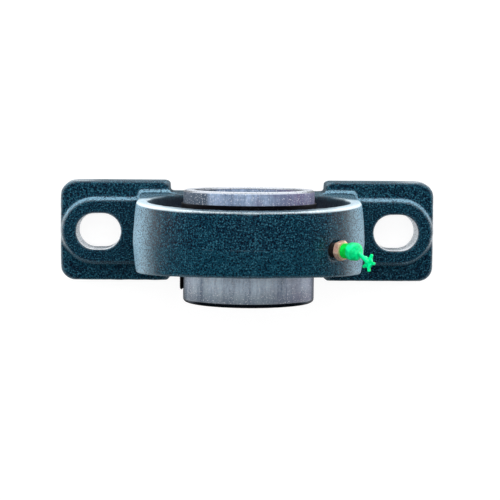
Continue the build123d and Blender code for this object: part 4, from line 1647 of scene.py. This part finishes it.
@dataclass
class Studio:
    """Pale floor, white surroundings, soft lamps and the camera."""

    lamp_distance: float = 1.15
    floor_half: float = 4.0
    floor_level: float = -0.2 * MM
    # Where the painted shadow on the floor, seen in reflections, falls.
    floor_fade: Span = (-0.16, -0.05)
    floor_grey: float = 0.86
    contact_across: Span = (0.13125, 0.105)
    contact_along: Span = (0.168, 0.12)
    contact_share: float = 0.9
    camera_place: Weights = (-0.0194477540, 0.0798908493, 1.18833406)
    camera_turn: Weights = (0.0799743829, 0.018361049, -0.00561427522)
    focal_pixels: float = 1594.71316
    sensor: float = 36.0
    ambient: float = 0.05
    overhead: float = 0.03
    horizon: float = 1.15
    front_dark: float = 0.01
    floor_white: float = 1.1
    shadow_share: float = 0.2
    ceiling: Span = (0.42, 0.05)
    back_way: Span = (0.1, 0.6)
    front_way: Span = (-0.45, -0.08)
    far: float = 20.0

    def build(self) -> None:
        """Set up everything round the object."""
        scene = bpy.context.scene
        scene.view_settings.view_transform = "Standard"
        self._floor()
        self._world()
        for side in Side:
            self._lamp(side)
        self._camera()

    def _floor(self) -> None:
        """Floor that looks white and keeps the object's shadow."""
        half = self.floor_half
        mesh = bmesh.new()
        corners = ((-half, -half), (half, -half), (half, half), (-half, half))
        mesh.faces.new([mesh.verts.new((x, y, 0)) for x, y in corners])
        floor = link("floor", from_bmesh(mesh, "floor"))
        floor.location.z = self.floor_level
        floor.data.materials.append(self._floor_paint())

    def _floor_paint(self) -> bpy.types.Material:
        """White to the camera and in reflections, with a painted shadow in reflections under and in front of
        the object, and pale grey to other light.
        """
        material = bpy.data.materials.new("pale_floor")
        material.use_nodes = True
        tree = Tree(material.node_tree)
        camera, through, glossy = tree.numbers("ShaderNodeLightPath", "Is Camera Ray", "Is Transmission Ray",
                                               "Is Glossy Ray")
        across, forward, _ = tree.split(tree.add("ShaderNodeTexCoord").outputs["Object"])
        # Painted shadow: in reflections the floor darkens under the object and towards the front.
        under = abs(across).step(*self.contact_across) * forward.step(*self.contact_along)
        clear = forward.step(*self.floor_fade) * (1 - under * self.contact_share)
        seen = camera.most(through).most(glossy * clear)
        grey = (1 - glossy * (1 - clear)) * self.floor_grey
        colour = tree.add("ShaderNodeCombineColor", {0: grey, 1: grey, 2: grey}).outputs[0]
        plain = tree.add("ShaderNodeBsdfDiffuse", {"Color": colour}).outputs[0]
        white = tree.add("ShaderNodeEmission", {"Color": WHITE, "Strength": self.floor_white}).outputs[0]
        blend = tree.add("ShaderNodeMixShader", {0: seen * (1 - self.shadow_share), 1: plain, 2: white})
        tree.add("ShaderNodeOutputMaterial", {"Surface": blend.outputs[0]})
        material.cycles.emission_sampling = "NONE"
        return material

    def _world(self) -> None:
        """White surroundings for the camera, and a white horizon under a darker ceiling for reflections."""
        world = bpy.data.worlds.new("studio")
        bpy.context.scene.world = world
        world.use_nodes = True
        tree = Tree(world.node_tree)
        seen, through, glossy = tree.numbers("ShaderNodeLightPath", "Is Camera Ray", "Is Transmission Ray",
                                             "Is Glossy Ray")
        camera = seen.most(through)
        _, direction_y, height = tree.split(tree.add("ShaderNodeTexCoord").outputs["Generated"])
        back = height.step(*self.ceiling) * direction_y.step(*self.back_way)
        bright = self.overhead + back * (self.horizon - self.overhead)
        mirror = self.front_dark + direction_y.step(*self.front_way) * (bright - self.front_dark)
        level = camera + (1 - camera) * (glossy * mirror + (1 - glossy) * self.ambient)
        shade = tree.add("ShaderNodeBackground", {"Color": WHITE, "Strength": level})
        tree.add("ShaderNodeOutputWorld", {"Surface": shade.outputs[0]})

    def _lamp(self, side: Side) -> None:
        """Add a soft lamp.

        Args:
            side: Where it stands.
        """
        direction, size, power = side.value
        lamp = bpy.data.lights.new(f"lamp_{side.name.lower()}", "AREA")
        lamp.shape = "RECTANGLE"
        lamp.size, lamp.size_y = size
        lamp.energy = power
        holder = link(lamp.name, lamp)
        way = Vector(direction).normalized()
        holder.location = Vector((0, 0, SHAFT_HEIGHT)) + way * self.lamp_distance
        holder.rotation_euler = way.to_track_quat("Z", "Y").to_euler()
        holder.visible_camera = False
        holder.visible_glossy = False

    def _camera(self) -> None:
        """Camera that looks down on the housing, leaning slightly to its back."""
        lean, tilt, roll = self.camera_turn
        turn = Matrix.Rotation(roll, 3, "Z") @ Matrix.Rotation(tilt, 3, "Y") @ Matrix.Rotation(lean, 3, "X")
        camera = bpy.data.cameras.new("camera")
        camera.sensor_width = self.sensor
        camera.lens = self.focal_pixels * self.sensor / IMAGE_PIXELS
        camera.clip_end = self.far
        holder = link("camera", camera)
        holder.matrix_world = Matrix.Translation(self.camera_place) @ turn.transposed().to_4x4()
        bpy.context.scene.camera = holder


def main() -> None:
    """Build the bearing, then the studio round it."""
    logging.basicConfig(level=logging.INFO, format="%(name)s: %(message)s")
    for assembly in (Housing(), BearingInsert(), InnerRing(), GreaseNipple(), DustCap(), Studio()):
        assembly.build()


if __name__ == "__main__":
    main()
